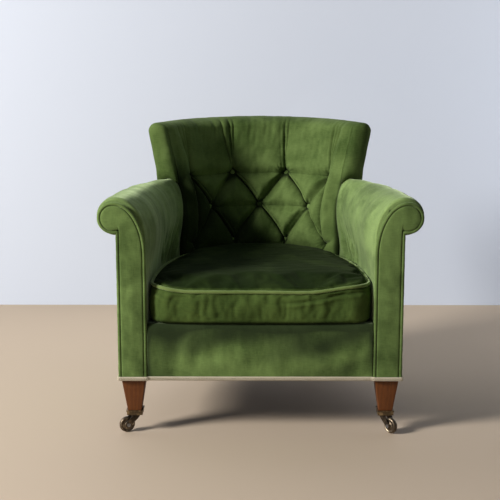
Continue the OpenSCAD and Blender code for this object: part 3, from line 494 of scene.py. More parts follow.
def new_material(name: str) -> tuple[Material, Tree, Socket, bpy.types.Node]:
    """Starts a material: its tree, the place on the object and its Principled shader."""
    material = bpy.data.materials.new(name)
    material.use_nodes = True
    t = Tree(material.node_tree)
    place = t.add("ShaderNodeTexCoord").outputs["Object"]
    shader = t.add("ShaderNodeBsdfPrincipled")
    t.add("ShaderNodeOutputMaterial", {"Surface": shader.outputs[0]})
    return material, t, place, shader


def bump_into(t: Tree, shader: bpy.types.Node, height: Socket, strength: float, reach: float) -> None:
    """Feeds a height into the shader's normal."""
    node = t.add("ShaderNodeBump", {"Height": height, "Strength": strength, "Distance": reach})
    t.feed(shader, {"Normal": node.outputs["Normal"]})


@dataclass(frozen=True)
class Velvet:
    """Cotton velvet with a nap that lies in patches."""

    name: str = "velvet"
    dark: Colour = (0.034, 0.060, 0.012, 1)
    light: Colour = (0.140, 0.214, 0.060, 1)
    sheen: float = 0.42
    sheen_rough: float = 0.42
    sheen_tint: Colour = (0.66, 0.80, 0.46, 1)
    specular: float = 0.18
    # Colour of the painted shade in the folds, and its largest share
    deep: Colour = (0.007, 0.014, 0.003, 1)
    deepest: float = 0.9
    # Share of the painted highlight on the crowns
    rubbed: float = 0.35
    rough: float = 0.95
    smoother: float = 0.15
    pile_depth: float = 0.0006
    pile_strength: float = 0.35

    def material(self) -> Material:
        """Builds the material: greens blended by the patches of the pile, darkened by the mesh's
        painted shade and lightened by its painted highlights, a sheen, and fine bumps.
        """
        material, t, place, shader = new_material(self.name)
        nap = group_node(t, nap_group, place).outputs
        # The mesh's painted light and shade: above 0 a painted highlight, below 0 painted shade
        lie = t.add("ShaderNodeAttribute", attribute_name="nap").outputs["Fac"]
        # Painted highlight on the crowns
        crown = t.maths("MULTIPLY", t.maths("MAXIMUM", lie, 0.0), self.rubbed)
        green = t.blend(t.maths("ADD", nap["Shade"], crown), self.dark, self.light)
        # Painted shade, up to its largest share
        sunk = t.maths("MAXIMUM", t.maths("MULTIPLY", lie, -1.0), 0.0)
        green = t.blend(t.maths("MINIMUM", sunk, self.deepest), green, self.deep)
        rough = t.straight(nap["Shade"], self.rough, -self.smoother)
        t.feed(shader, {"Base Color": green, "Roughness": rough, "Specular IOR Level": self.specular,
                        "Sheen Weight": self.sheen,
                        "Sheen Roughness": self.sheen_rough, "Sheen Tint": self.sheen_tint})
        bump_into(t, shader, nap["Height"], self.pile_strength, self.pile_depth)
        return material


@dataclass(frozen=True)
class Wood:
    """Timber with grain, pores and a finish."""

    name: str
    dark: Colour
    light: Colour
    gloss: float
    coat: float
    coat_rough: float = 0.22
    specular: float = 0.3
    pores: float = 0.2
    pore_tone: Colour = (0.02, 0.008, 0.004, 1)
    pore_strength: float = 0.25
    pore_depth: float = 0.0003
    dirt: float = 0.25
    wear: float = 0.16

    def material(self) -> Material:
        """Builds the material: grain between two browns, darker pores, and worn polish."""
        material, t, place, shader = new_material(self.name)
        grain = group_node(t, grain_group, place).outputs
        age = group_node(t, wear_group, place).outputs
        brown = t.blend(grain["Figure"], self.dark, self.light)
        brown = t.blend(t.maths("MULTIPLY", grain["Pore"], self.pores), brown, self.pore_tone)
        brown = t.blend(t.maths("MULTIPLY", age["Dirty"], self.dirt), brown, self.dark)
        rough = t.straight(age["Rubbed"], self.gloss, self.wear)
        t.feed(shader, {"Base Color": brown, "Roughness": rough, "Specular IOR Level": self.specular,
                        "Coat Weight": self.coat, "Coat Roughness": self.coat_rough})
        bump_into(t, shader, grain["Pore"], self.pore_strength, self.pore_depth)
        return material


@dataclass(frozen=True)
class Metal:
    """Aged metal, bright where it is rubbed and dull in between."""

    name: str
    bright: Colour
    dull: Colour
    gloss: float
    dirt: float = 0.45
    dirt_tone: Colour = (0.03, 0.022, 0.014, 1)
    dirt_rough: float = 0.25
    dirt_strength: float = 0.2
    dirt_depth: float = 0.0003

    def material(self) -> Material:
        """Builds the material: bright metal where it is rubbed, dull elsewhere, and dirt over both."""
        material, t, place, shader = new_material(self.name)
        age = group_node(t, wear_group, place).outputs
        tone = t.blend(age["Rubbed"], self.dull, self.bright)
        tone = t.blend(t.maths("MULTIPLY", age["Dirty"], self.dirt), tone, self.dirt_tone)
        rough = t.straight(age["Dirty"], self.gloss, self.dirt_rough)
        t.feed(shader, {"Base Color": tone, "Roughness": rough, "Metallic": 1.0})
        bump_into(t, shader, age["Dirty"], self.dirt_strength, self.dirt_depth)
        return material


@dataclass(frozen=True)
class Cloth:
    """A plain woven cloth."""

    name: str
    dark: Colour
    light: Colour
    threads: float
    patch_scale: float = 22.0
    patch_share: float = 0.4
    weave_share: float = 0.6
    rough: float = 0.85
    rougher: float = 0.1
    strength: float = 0.5
    depth: float = 0.0005

    def material(self) -> Material:
        """Builds the material: threads light and gaps dark, uneven in tone."""
        material, t, place, shader = new_material(self.name)
        weave = group_node(t, weave_group, place, Threads=self.threads).outputs["Weave"]
        uneven = t.noise(place, self.patch_scale, rough=0.55)
        share = t.weighted((weave, self.weave_share), (uneven, self.patch_share))
        t.feed(shader, {"Base Color": t.blend(share, self.dark, self.light),
                        "Roughness": t.straight(uneven, self.rough, self.rougher)})
        bump_into(t, shader, weave, self.strength, self.depth)
        return material


# The tub's plan line and the faces of its padding

@dataclass(frozen=True)
class Plan:
    """The line that the frame follows from above: straight arms that join a curve round the back."""

    half_w: float = 0.312
    join: float = 0.080
    rear: float = 0.550
    power: float = 2.3
    mid: float = 0.3767
    probe: float = 0.004
    table: tuple = field(init=False, repr=False)

    def __post_init__(self) -> None:
        """Walks the curve once and keeps running length, half width and depth."""
        t = np.linspace(math.pi / 2, 0, 1401)
        x = self.half_w * np.clip(np.cos(t), 0, 1) ** (2 / self.power)
        d = self.join + self.rear * np.clip(np.sin(t), 0, 1) ** (2 / self.power)
        x, d = np.append(x, self.half_w), np.append(d, 0.0)
        run = np.concatenate([[0], np.cumsum(np.hypot(np.diff(x), np.diff(d)))])
        object.__setattr__(self, "table", (run, x, d))

    @property
    def length(self) -> float:
        """Running length from the middle of the back to the front of an arm."""
        return float(self.table[0][-1])

    def line(self, s: Array) -> tuple[Array, Array]:
        """Half width and depth at running length s from the middle of the back, with the sign of s."""
        run, x, d = self.table
        return np.sign(s) * np.interp(np.abs(s), run, x), np.interp(np.abs(s), run, d)

    def at(self, s: Array, off: Array, z: Array) -> Array:
        """Points at running length s, moved outwards by off, at height z.

        Args:
            s: Running length, below zero on the left.
            off: Distance outwards from the line.
            z: Height.

        Returns:
            Points in the chair's frame.
        """
        s, off, z = np.broadcast_arrays(np.asarray(s, float), off, z)
        x, d = self.line(s)
        x1, d1 = self.line(s - self.probe)
        x2, d2 = self.line(s + self.probe)
        run = np.hypot(x2 - x1, d2 - d1)
        return np.stack([x - (d2 - d1) / run * off, d + (x2 - x1) / run * off - self.mid, z], -1)

    def level(self, d: Array | float) -> Array | float:
        """The chair's Y of a depth."""
        return d - self.mid


@dataclass(frozen=True)
class TubFaces:
    """Inner and outer faces of the back, as distances from the plan line."""

    arm_pad: float = 0.0385
    back_pad: float = 0.050
    side_from: float = 0.060
    side_run: float = 0.250
    lean_mid: float = 0.249
    lean_wing: float = 0.26
    bend_mid: float = 0.380
    bend_wing: float = 0.520
    bend_soft: float = 0.020
    outer_mid: float = 0.250
    outer_wing: float = 0.560
    top_z: float = 0.720
    mid_t: float = 0.095
    wing_t: float = 0.056
    cover: float = 0.035
    crown_mid: float = 0.032
    crown_wing: float = 0.024
    wing_s: float = 0.318

    def share(self, s: Array) -> Array:
        """0 at the middle of the back and 1 at the sides."""
        return rise(np.abs(s), self.side_from, self.side_run)

    def seat_pad(self, s: Array) -> Array:
        """Padding inside the plan line at the seat."""
        return mix(self.back_pad, self.arm_pad, self.share(s))

    def inner(self, s: Array, z: Array) -> Array:
        """Offset of the inner face: upright up to a bend, then leaning back at a steady slope."""
        k = self.share(s)
        q = z - mix(self.bend_mid, self.bend_wing, k)
        lean = mix(self.lean_mid, self.lean_wing, k)
        return -self.seat_pad(s) + lean * (soft_ramp(q, self.bend_soft) - self.bend_soft / 10)

    def outer(self, s: Array, z: Array) -> Array:
        """Offset of the outer face: upright up to a bend, then in a straight line to the top roll."""
        k = self.share(s)
        start = mix(self.outer_mid, self.outer_wing, k)
        top = self.inner(s, self.top_z) + mix(self.mid_t, self.wing_t, k)
        return self.cover + (top - self.cover) * np.maximum(0, (z - start) / (self.top_z - start))

    def crown(self, s: Array) -> Array:
        """Rise of the top roll."""
        return mix(self.crown_mid, self.crown_wing, np.abs(s) / self.wing_s)


PLAN = Plan()
FACES = TubFaces()


@dataclass(frozen=True)
class Pleat:
    """A folded line between two places on the back.

    It is `depth` deep at its start and `fade` at its end, and bows sideways by `bow`. A lip of
    cloth stands beside it, on the side that the sign of `lip` says. Painted shade darkens its floor,
    at a strength of its own, up to the share `reach` of its length, and `soft` turns its sharp floor
    into a soft dip.
    """

    start: tuple[float, float]
    end: tuple[float, float]
    depth: float = 1.0
    fade: float = 1.0
    bow: float = 0.0
    lip: float = 1.0
    fold_shade: float = 0.6
    reach: float = 1.0
    soft: float = 0.0


@dataclass(frozen=True)
class Marks:
    """What the folds do together at each point of the back.

    `valley` is their depth from 0 to about 1, and `lips` the height of the cloth beside them in lip
    heights. The other two are painted: painted shade on the floors of the folds, and painted
    highlights on their lips, both from 0 to 1.
    """

    valley: Array
    lips: Array
    fold_shade: Array
    lip_highlight: Array


@dataclass
class InsideBack:
    """The buttoned inside of the back, with the soft edges of its wings."""

    # Places of the buttons: heights of the rows, and running lengths of the inner and outer columns
    row_zs: tuple[float, float, float] = (0.589, 0.495, 0.396)
    column_s: tuple[float, float, float, float, float] = (0.075, 0.243, 0.162, 0.088, 0.255)
    # How far the pillows stand out and the folds lie in
    swell: float = 0.0125
    sink: float = 0.0175
    # Section of a fold: a quarter round with a sharp floor, or a soft dip
    round_w: float = 0.040
    floor_share: float = 0.15
    floor_w: float = 0.003
    dip: float = 0.92
    dip_w: float = 0.015
    deepest: float = 1.08
    # Lip of cloth beside a fold, and the groove behind it
    lip_h: float = 0.0030
    lip_at: float = 0.0055
    lip_w: float = 0.0024
    groove: float = 0.55
    groove_at: float = 2.1
    # Painted shade: a dark line on the floor of a fold, and a thin one behind its lip
    fold_shade_from: float = 0.0002
    fold_shade_run: float = 0.0034
    thin_fold_shade: float = 0.6
    thin_w: float = 0.0016
    # Puckers across the folds
    pucker: float = 0.13
    pucker_len: float = 0.012
    pucker_at: float = 0.011
    pucker_w: float = 0.007
    # Hollow at a button, and the rays of cloth round it
    button_sink: float = 0.004
    button_w: float = 0.013
    ray_h: float = 0.0012
    rays: int = 9
    ray_at: float = 0.019
    ray_w: float = 0.011
    # Folds fanning out above the outer buttons: how far they lean out, and their depth
    fan: tuple[tuple[float, float], ...] = ((-0.004, 0.90), (0.013, 0.60), (0.034, 0.55))
    # The full stretch beside the arms
    side_s: float = 0.285
    side_w: float = 0.017
    side_swell: float = 0.011
    # Painted shadow of the left arm and wing low on the left, below a sloping line, and painted shade
    # on the right wing's edge
    arm_shadow_z: float = 0.490
    arm_shadow_slope: float = 0.68
    arm_shadow_run: float = 0.110
    arm_shadow_strength: float = 0.78
    wing_painted_shade: float = -0.14
    # Edges and back of the padding
    foot_z: float = 0.245
    fine_z: float = 0.36
    crease_run: float = 0.020
    crease_in: float = 0.009
    lip_in: float = 0.0065
    hook_z: float = 0.7125
    pad_t: float = 0.027
    pad_zs: tuple[float, ...] = (0.65, 0.589, 0.495, 0.389, 0.30)
    columns: int = 420
    edge_run: float = 0.023
    edge_flat: float = 0.006
    edge_z: float = 0.590

    def buttons(self) -> list[tuple[float, float]]:
        """Places of the buttons, as running length and height."""
        z1, z2, z3 = self.row_zs
        inner1, outer1, wide2, inner3, outer3 = self.column_s
        return ([(s, z1) for s in (-outer1, -inner1, inner1, outer1)]
                + [(s, z2) for s in (-wide2, 0.0, wide2)]
                + [(s, z3) for s in (-outer3, -inner3, inner3, outer3)])

    def pleats(self) -> list[Pleat]:
        """Diagonal folds between the rows, upright ones above and below, and long ones by the arms."""
        b = self.buttons()
        row1, row2, row3 = b[:4], b[4:7], b[7:]
        top = FACES.top_z + 0.02
        folds = []
        for i in range(3):
            folds += [Pleat(row1[i], row2[i], bow=-0.004, lip=-1.0, fold_shade=1.0),
                      Pleat(row1[i + 1], row2[i], fade=0.80, lip=0.0, fold_shade=0.35, reach=0.40, soft=0.8),
                      Pleat(row2[i], row3[i + 1], bow=-0.003, lip=-1.0, fold_shade=1.0),
                      Pleat(row2[i], row3[i], fade=0.90, lip=0.25, fold_shade=0.35, reach=0.55, soft=0.7)]
        for s, z in row1[1:3]:
            folds += [Pleat((s, z), (s - 0.006, top), 0.72, 0.42, bow=-0.001, lip=-0.7, fold_shade=0.60),
                      Pleat((s, z), (s + 0.006, top), 0.52, 0.30, lip=-0.4, fold_shade=0.30)]
        s, z = row1[1]
        folds.append(Pleat((s, z), (s - 0.030, top), 0.65, 0.30, bow=-0.004, lip=0.5, fold_shade=0.5,
                           reach=0.75))
        for s, z in (row1[0], row1[3]):
            sign = math.copysign(1.0, s)
            folds += [Pleat((s, z), (s + sign * out, top), depth, 0.20, bow=-0.004 * sign, lip=-0.6,
                            fold_shade=0.45 * depth, reach=0.6) for out, depth in self.fan]
        folds += [Pleat((s, z), (s, self.foot_z), 0.8, 0.6) for s, z in row3]
        for one, three in ((row1[0], row3[0]), (row1[3], row3[3])):
            sign = math.copysign(1.0, one[0])
            folds += [Pleat(one, three, bow=0.013 * sign, lip=-0.8 * sign, fold_shade=0.9),
                      Pleat(three, (three[0] + 0.046 * sign, three[1] + 0.014), 0.8, 0.45, lip=0.0)]
        for row in (row1, row2):
            for a, c in zip(row[:-1], row[1:]):
                half = ((a[0] + c[0]) / 2, (a[1] + c[1]) / 2 - 0.003)
                folds += [Pleat(end, half, 0.75, 0.45, lip=0.0, fold_shade=0.35, reach=0.9, soft=0.5)
                          for end in (a, c)]
        return folds

    def fold_marks(self, s: Array, z: Array) -> Marks:
        """Adds up the folds.

        Each fold is a valley with a sharp floor: a quarter round `round_w` wide on both sides of
        its line. It is added to the others as the cube root of the sum of cubes, so that the
        padding between them is one smooth pillow. A narrow lip of folded cloth stands beside some
        folds, and puckers cross them.

        Args:
            s: Running length.
            z: Height.

        Returns:
            The folds' marks at each point.
        """
        cubes, lips, fold_shade, lip_highlight = np.zeros((4, *s.shape))
        for k, fold in enumerate(self.pleats()):
            a, b = np.array(fold.start), np.array(fold.end)
            run = b - a
            length = float(np.hypot(*run))
            along = np.clip(((s - a[0]) * run[0] + (z - a[1]) * run[1]) / length**2, 0, 1)
            bow = fold.bow * np.sin(math.pi * along)
            side = ((s - a[0]) * run[1] - (z - a[1]) * run[0]) / length
            near_s, near_z = a[0] + run[0] * along, a[1] + run[1] * along
            inside = (along > 0) & (along < 1)
            off = np.where(inside, side - bow, np.hypot(s - near_s, z - near_z))
            away = np.minimum(np.abs(off) / self.round_w, 1.0)
            deep = mix(fold.depth, fold.fade, along)
            cut = (1 - self.floor_share) * quarter(1 - away) + self.floor_share * vee(off, self.floor_w)
            cubes += (deep * mix(cut, self.dip * bump(off, 0.0, self.dip_w), fold.soft)) ** 3
            middle = np.where(inside, np.sin(math.pi * along) ** 0.4, 0.0)
            stand = abs(fold.lip) * deep * middle * (1 + 0.3 * np.sin(along * 15 + k))
            lip_off = off * np.sign(fold.lip + 1e-9)
            at = self.lip_at * (0.7 + 0.5 * along)
            crest = bump(lip_off, at, self.lip_w)
            lips += stand * (crest - self.groove * bump(lip_off, self.groove_at * at, self.lip_w))
            # Painted shade along the floor of the fold, fading out beyond its reach, and a thin line of
            # it behind the lip
            drawn = fold.fold_shade * deep * (1 - rise(along, fold.reach - 0.25, 0.35) * (fold.reach < 1))
            drawn = drawn * (1 - rise(away * self.round_w, self.fold_shade_from, self.fold_shade_run))
            thin = self.thin_fold_shade * fold.fold_shade * stand * bump(lip_off, 2.0 * at, self.thin_w)
            fold_shade = np.maximum(fold_shade, np.maximum(drawn, thin))
            # Painted highlight on the lip
            lip_highlight = np.maximum(lip_highlight, stand * crest)
            waves = np.sin(along * length * TAU / self.pucker_len + 3 * rumple(s, z, 0.05, 70 + k))
            beside = bump(np.abs(off), self.pucker_at, self.pucker_w)
            lips += self.pucker * deep * middle * waves * beside
        return Marks(np.minimum(np.cbrt(cubes), self.deepest), lips, fold_shade, lip_highlight)

    def button_marks(self, s: Array, z: Array) -> tuple[Array, Array]:
        """The hollows at the buttons, from 0 to 1, and the rays round them, up and down by about 1."""
        pull, star = np.zeros((2, *s.shape))
        for bs, bz in self.buttons():
            away = np.hypot(s - bs, z - bz)
            pull = np.maximum(pull, bump(away, 0.0, self.button_w))
            turn = np.arctan2(z - bz, s - bs)
            ray = np.sin(turn * self.rays + bs * 90 + 1.5 * rumple(s, z, 0.03, 8))
            star += ray * bump(away, self.ray_at, self.ray_w)
        return pull, star

    def face_field(self, s: Array, z: Array) -> tuple[Array, Array]:
        """How far the face is pulled in at each point, and the painted light and shade on it.

        The folds and buttons pull it in and the lips stand out. All of it dies away beside the arms
        and below the cushion.

        Args:
            s: Running length.
            z: Height.

        Returns:
            The distance inwards, below zero where the padding swells, and the painted light and shade
            from
            -1, painted shade, to 1, a painted highlight.
        """
        marks = self.fold_marks(s, z)
        pull, star = self.button_marks(s, z)
        live = np.where(marks.valley < 0.38, rise(z, 0.362, 0.045), rise(z, 0.335, 0.05))
        arm_side = rise(np.abs(s), 0.280, 0.035)
        inwards = -self.swell + (self.swell + self.sink) * marks.valley
        inwards = mix(inwards, 0.25 * inwards, arm_side)
        inwards -= self.lip_h * marks.lips * (1 - arm_side)
        inwards += self.button_sink * pull + self.ray_h * star
        full = self.side_swell * bump(np.abs(s), self.side_s, self.side_w)
        inwards -= full * rise(z, 0.40, 0.05) * fall(z, 0.62, 0.06)
        inwards += 0.0010 * rumple(s, z, 0.060, 3) + 0.0004 * rumple(s, z * 0.6, 0.024, 5)
        inwards = inwards * live + self.gathers(s, z) * rise(z, 0.64, 0.07) * (1 - arm_side)
        return inwards, self.lie(s, z, marks, pull, live, arm_side)

    def lie(self, s: Array, z: Array, marks: Marks, pull: Array, live: Array, arm_side: Array) -> Array:
        """Painted light and shade on the face.

        Painted highlights lie on the pillows, above the first row, on the lips, beside the right arm
        and in the upper left; painted shade lies in the folds, at the buttons, under the first row and
        a little low down. Low on the left, below a sloping line, lies a painted shadow of the left arm
        and wing.

        Args:
            s: Running length.
            z: Height.
            marks: The folds.
            pull: The hollows at the buttons.
            live: 0 below the cushion, 1 where the face is in full relief.
            arm_side: 0 along the face, 1 beside the arms.

        Returns:
            The painted light and shade from -1 to 1.
        """
        valley = marks.valley
        # Painted highlights on the pillows, above the first row and on the lips; painted shade in the
        # folds and at the buttons
        pillow = smooth(1.3 * (1 - valley) - 0.15) * fall(z, 0.70, 0.09) * rise(z, 0.34, 0.04)
        over = bump(z, self.row_zs[0] + 0.030, 0.030) * (1 - rise(valley, 0.3, 0.4))
        nap = 0.35 * pillow + 0.45 * over + 0.9 * marks.lip_highlight * live * (1 - marks.fold_shade)
        dark = marks.fold_shade + 0.35 * rise(valley, 0.55, 0.5) + 0.8 * pull
        nap = nap - dark * live * (1 - 0.5 * arm_side)
        # Painted highlight beside the right arm and in the upper left; painted shade under the first
        # row and low down
        beside = bump(s, self.side_s, 0.020) * rise(z, 0.38, 0.04) * fall(z, 0.60, 0.05)
        under = bump(z, self.row_zs[0] - 0.015, 0.014) * rise(valley, 0.15, 0.4)
        under = under * (0.5 + 0.5 * fall(s, 0.05, 0.2))
        upper_left_highlight = fall(s, -0.06, 0.05) * rise(z, 0.60, 0.03)
        nap = nap + 0.55 * beside + 0.75 * upper_left_highlight - 0.70 * under - 0.10 * fall(z, 0.43, 0.06)
        # Painted shadow of the left arm and wing: below a sloping line the value falls to painted shade
        below = self.arm_shadow_z - self.arm_shadow_slope * s - z + 0.012 * rumple(s, z, 0.09, 15)
        return mix(nap, np.minimum(nap, 0.0) - self.arm_shadow_strength, smooth(below / self.arm_shadow_run))

    def gathers(self, s: Array, z: Array) -> Array:
        """Uneven upright gathers: rumpled fields that are four to five times longer up than across."""
        return 0.0007 * rumple(s, z * 0.20, 0.018, 9) + 0.0005 * rumple(s, z * 0.25, 0.034, 11)

    def crease(self, s: Array, z: Array) -> Array:
        """How far the face turns in beside the arms: a quarter round, below the arm's crest."""
        t = np.clip((np.abs(s) - (FACES.wing_s - self.crease_run)) / self.crease_run, 0, 1)
        return self.crease_in * quarter(t, 0.999) * fall(z, 0.600, 0.03)

    def rings(self) -> tuple[Array, Array]:
        """The back as sections from wing to wing, and the painted light and shade at their points.

        Each section goes up the face, over the top roll, and down behind the top rail.
        """
        s = np.linspace(FACES.wing_s, -FACES.wing_s, self.columns)[:, None]
        low = np.linspace(self.foot_z, self.fine_z, 12)[:-1]
        z = np.concatenate([low, np.linspace(self.fine_z, FACES.top_z, 176)])[None, :]
        field_in, face_painted_light = self.face_field(s + 0 * z, z + 0 * s)
        face = FACES.inner(s, z) + field_in + self.crease(s, z)
        # Painted shade where the face turns in beside the arms, below their crest
        corner = rise(np.abs(s), FACES.wing_s - 0.012, 0.012) * fall(z, 0.605, 0.03)
        face_painted_light = face_painted_light - 0.9 * corner
        o, i = FACES.outer(s, FACES.top_z), FACES.inner(s, FACES.top_z)
        mid, half, crest = (o + i) / 2, (o - i) / 2, FACES.crown(s)
        a = np.linspace(0, math.pi, 34)[None, 1:-1]
        last = self.face_field(s, np.full_like(s, FACES.top_z))[0]
        roll_off = mid - half * np.cos(a) + last * np.maximum(0, np.cos(a)) ** 1.5
        gathers = self.gathers(s, np.full_like(s, FACES.top_z))
        flute = -gathers * np.sin(a) * np.maximum(0, np.cos(a * 0.8))
        roll_z = FACES.top_z + (crest + flute) * np.sin(a)
        back = [(o, FACES.top_z), (o - self.lip_in, FACES.top_z), (o - self.lip_in, self.hook_z),
                (FACES.inner(s, self.hook_z) + self.pad_t, self.hook_z)]
        back += [(FACES.inner(s, h) + self.pad_t, h) for h in (*self.pad_zs, self.foot_z)]
        off = np.concatenate([face, roll_off] + [b[0] + 0 * s for b in back], 1)
        height = np.concatenate([z + 0 * s, roll_z] + [np.full_like(s, b[1]) for b in back], 1)
        # The painted light and shade carried over the top roll, fading as it turns
        roll_painted_light = face_painted_light[:, -1:] * np.maximum(0, np.cos(a)) ** 2
        nap = np.concatenate([face_painted_light, roll_painted_light, np.zeros((self.columns, len(back)))], 1)
        return PLAN.at(s, off, height), nap

    def wing_rings(self, arm_top: Callable[[Array], Array]) -> Array:
        """The soft edge of the right wing: sections that narrow in a quarter round towards its front.

        Args:
            arm_top: Height of the arm's crest at an offset.

        Returns:
            Points by section.
        """
        u = (np.sin(np.linspace(0, math.pi / 2, 26)) * 0.999)[:, None]
        s = FACES.wing_s - 0.0004 + u * self.edge_run
        t = np.maximum(0, (u * self.edge_run - self.edge_flat) / (self.edge_run - self.edge_flat))
        k = np.maximum(0.02, np.sqrt(np.maximum(0, 1 - t**2)))

        def edges(z: Array) -> tuple[Array, Array]:
            """Inner and outer offsets at a height, drawn together towards the front."""
            a, b = FACES.inner(s, z), FACES.outer(s, z)
            mid = (a + b) / 2
            return mid + (a - mid) * k, mid + (b - mid) * k

        up = np.linspace(0.615, FACES.top_z, 34)[None, :]
        foot = mix(*edges(np.array(self.edge_z)), np.linspace(1, 0, 14)[None, :])
        a, b = edges(np.array(FACES.top_z))
        turn = np.linspace(0, math.pi, 30)[None, 1:-1]
        over = (a + b) / 2 - (b - a) / 2 * np.cos(turn)
        over_z = FACES.top_z + FACES.crown(s) * k ** 0.6 * np.sin(turn)
        off = np.concatenate([foot, edges(up)[0], over, edges(up[:, ::-1])[1]], 1)
        z = np.concatenate([arm_top(foot) + 3 * CLEAR, up + 0 * s, over_z, up[:, ::-1] + 0 * s], 1)
        puckers = 0.0007 * rumple(z, off + 0 * z, 0.045, 21) * rise(u, 0.1, 0.4)
        return PLAN.at(s, off + puckers, z)

    def build(self, velvet: Material, arm_top: Callable[[Array], Array]) -> None:
        """Makes the buttoned face and both wing edges.

        Args:
            velvet: Finish.
            arm_top: Height of the arm's crest at an offset.
        """
        rings, nap = self.rings()
        cover = skin("inside_back_cover", rings)
        # Painted light and shade on the face
        paint_light_and_tone(cover, nap)
        dress(cover, velvet, "chair", "velvet", ("inside_back",), fill=0.8)
        right = skin("wing_edge_cover_r", self.wing_rings(arm_top))
        left = mirrored(right, "wing_edge_cover_l")
        # Painted shade on the right wing's edge
        paint_light_and_tone(right, self.wing_painted_shade)
        dress_pair(right, left, velvet, "velvet", "wing_edge", fill=0.8)


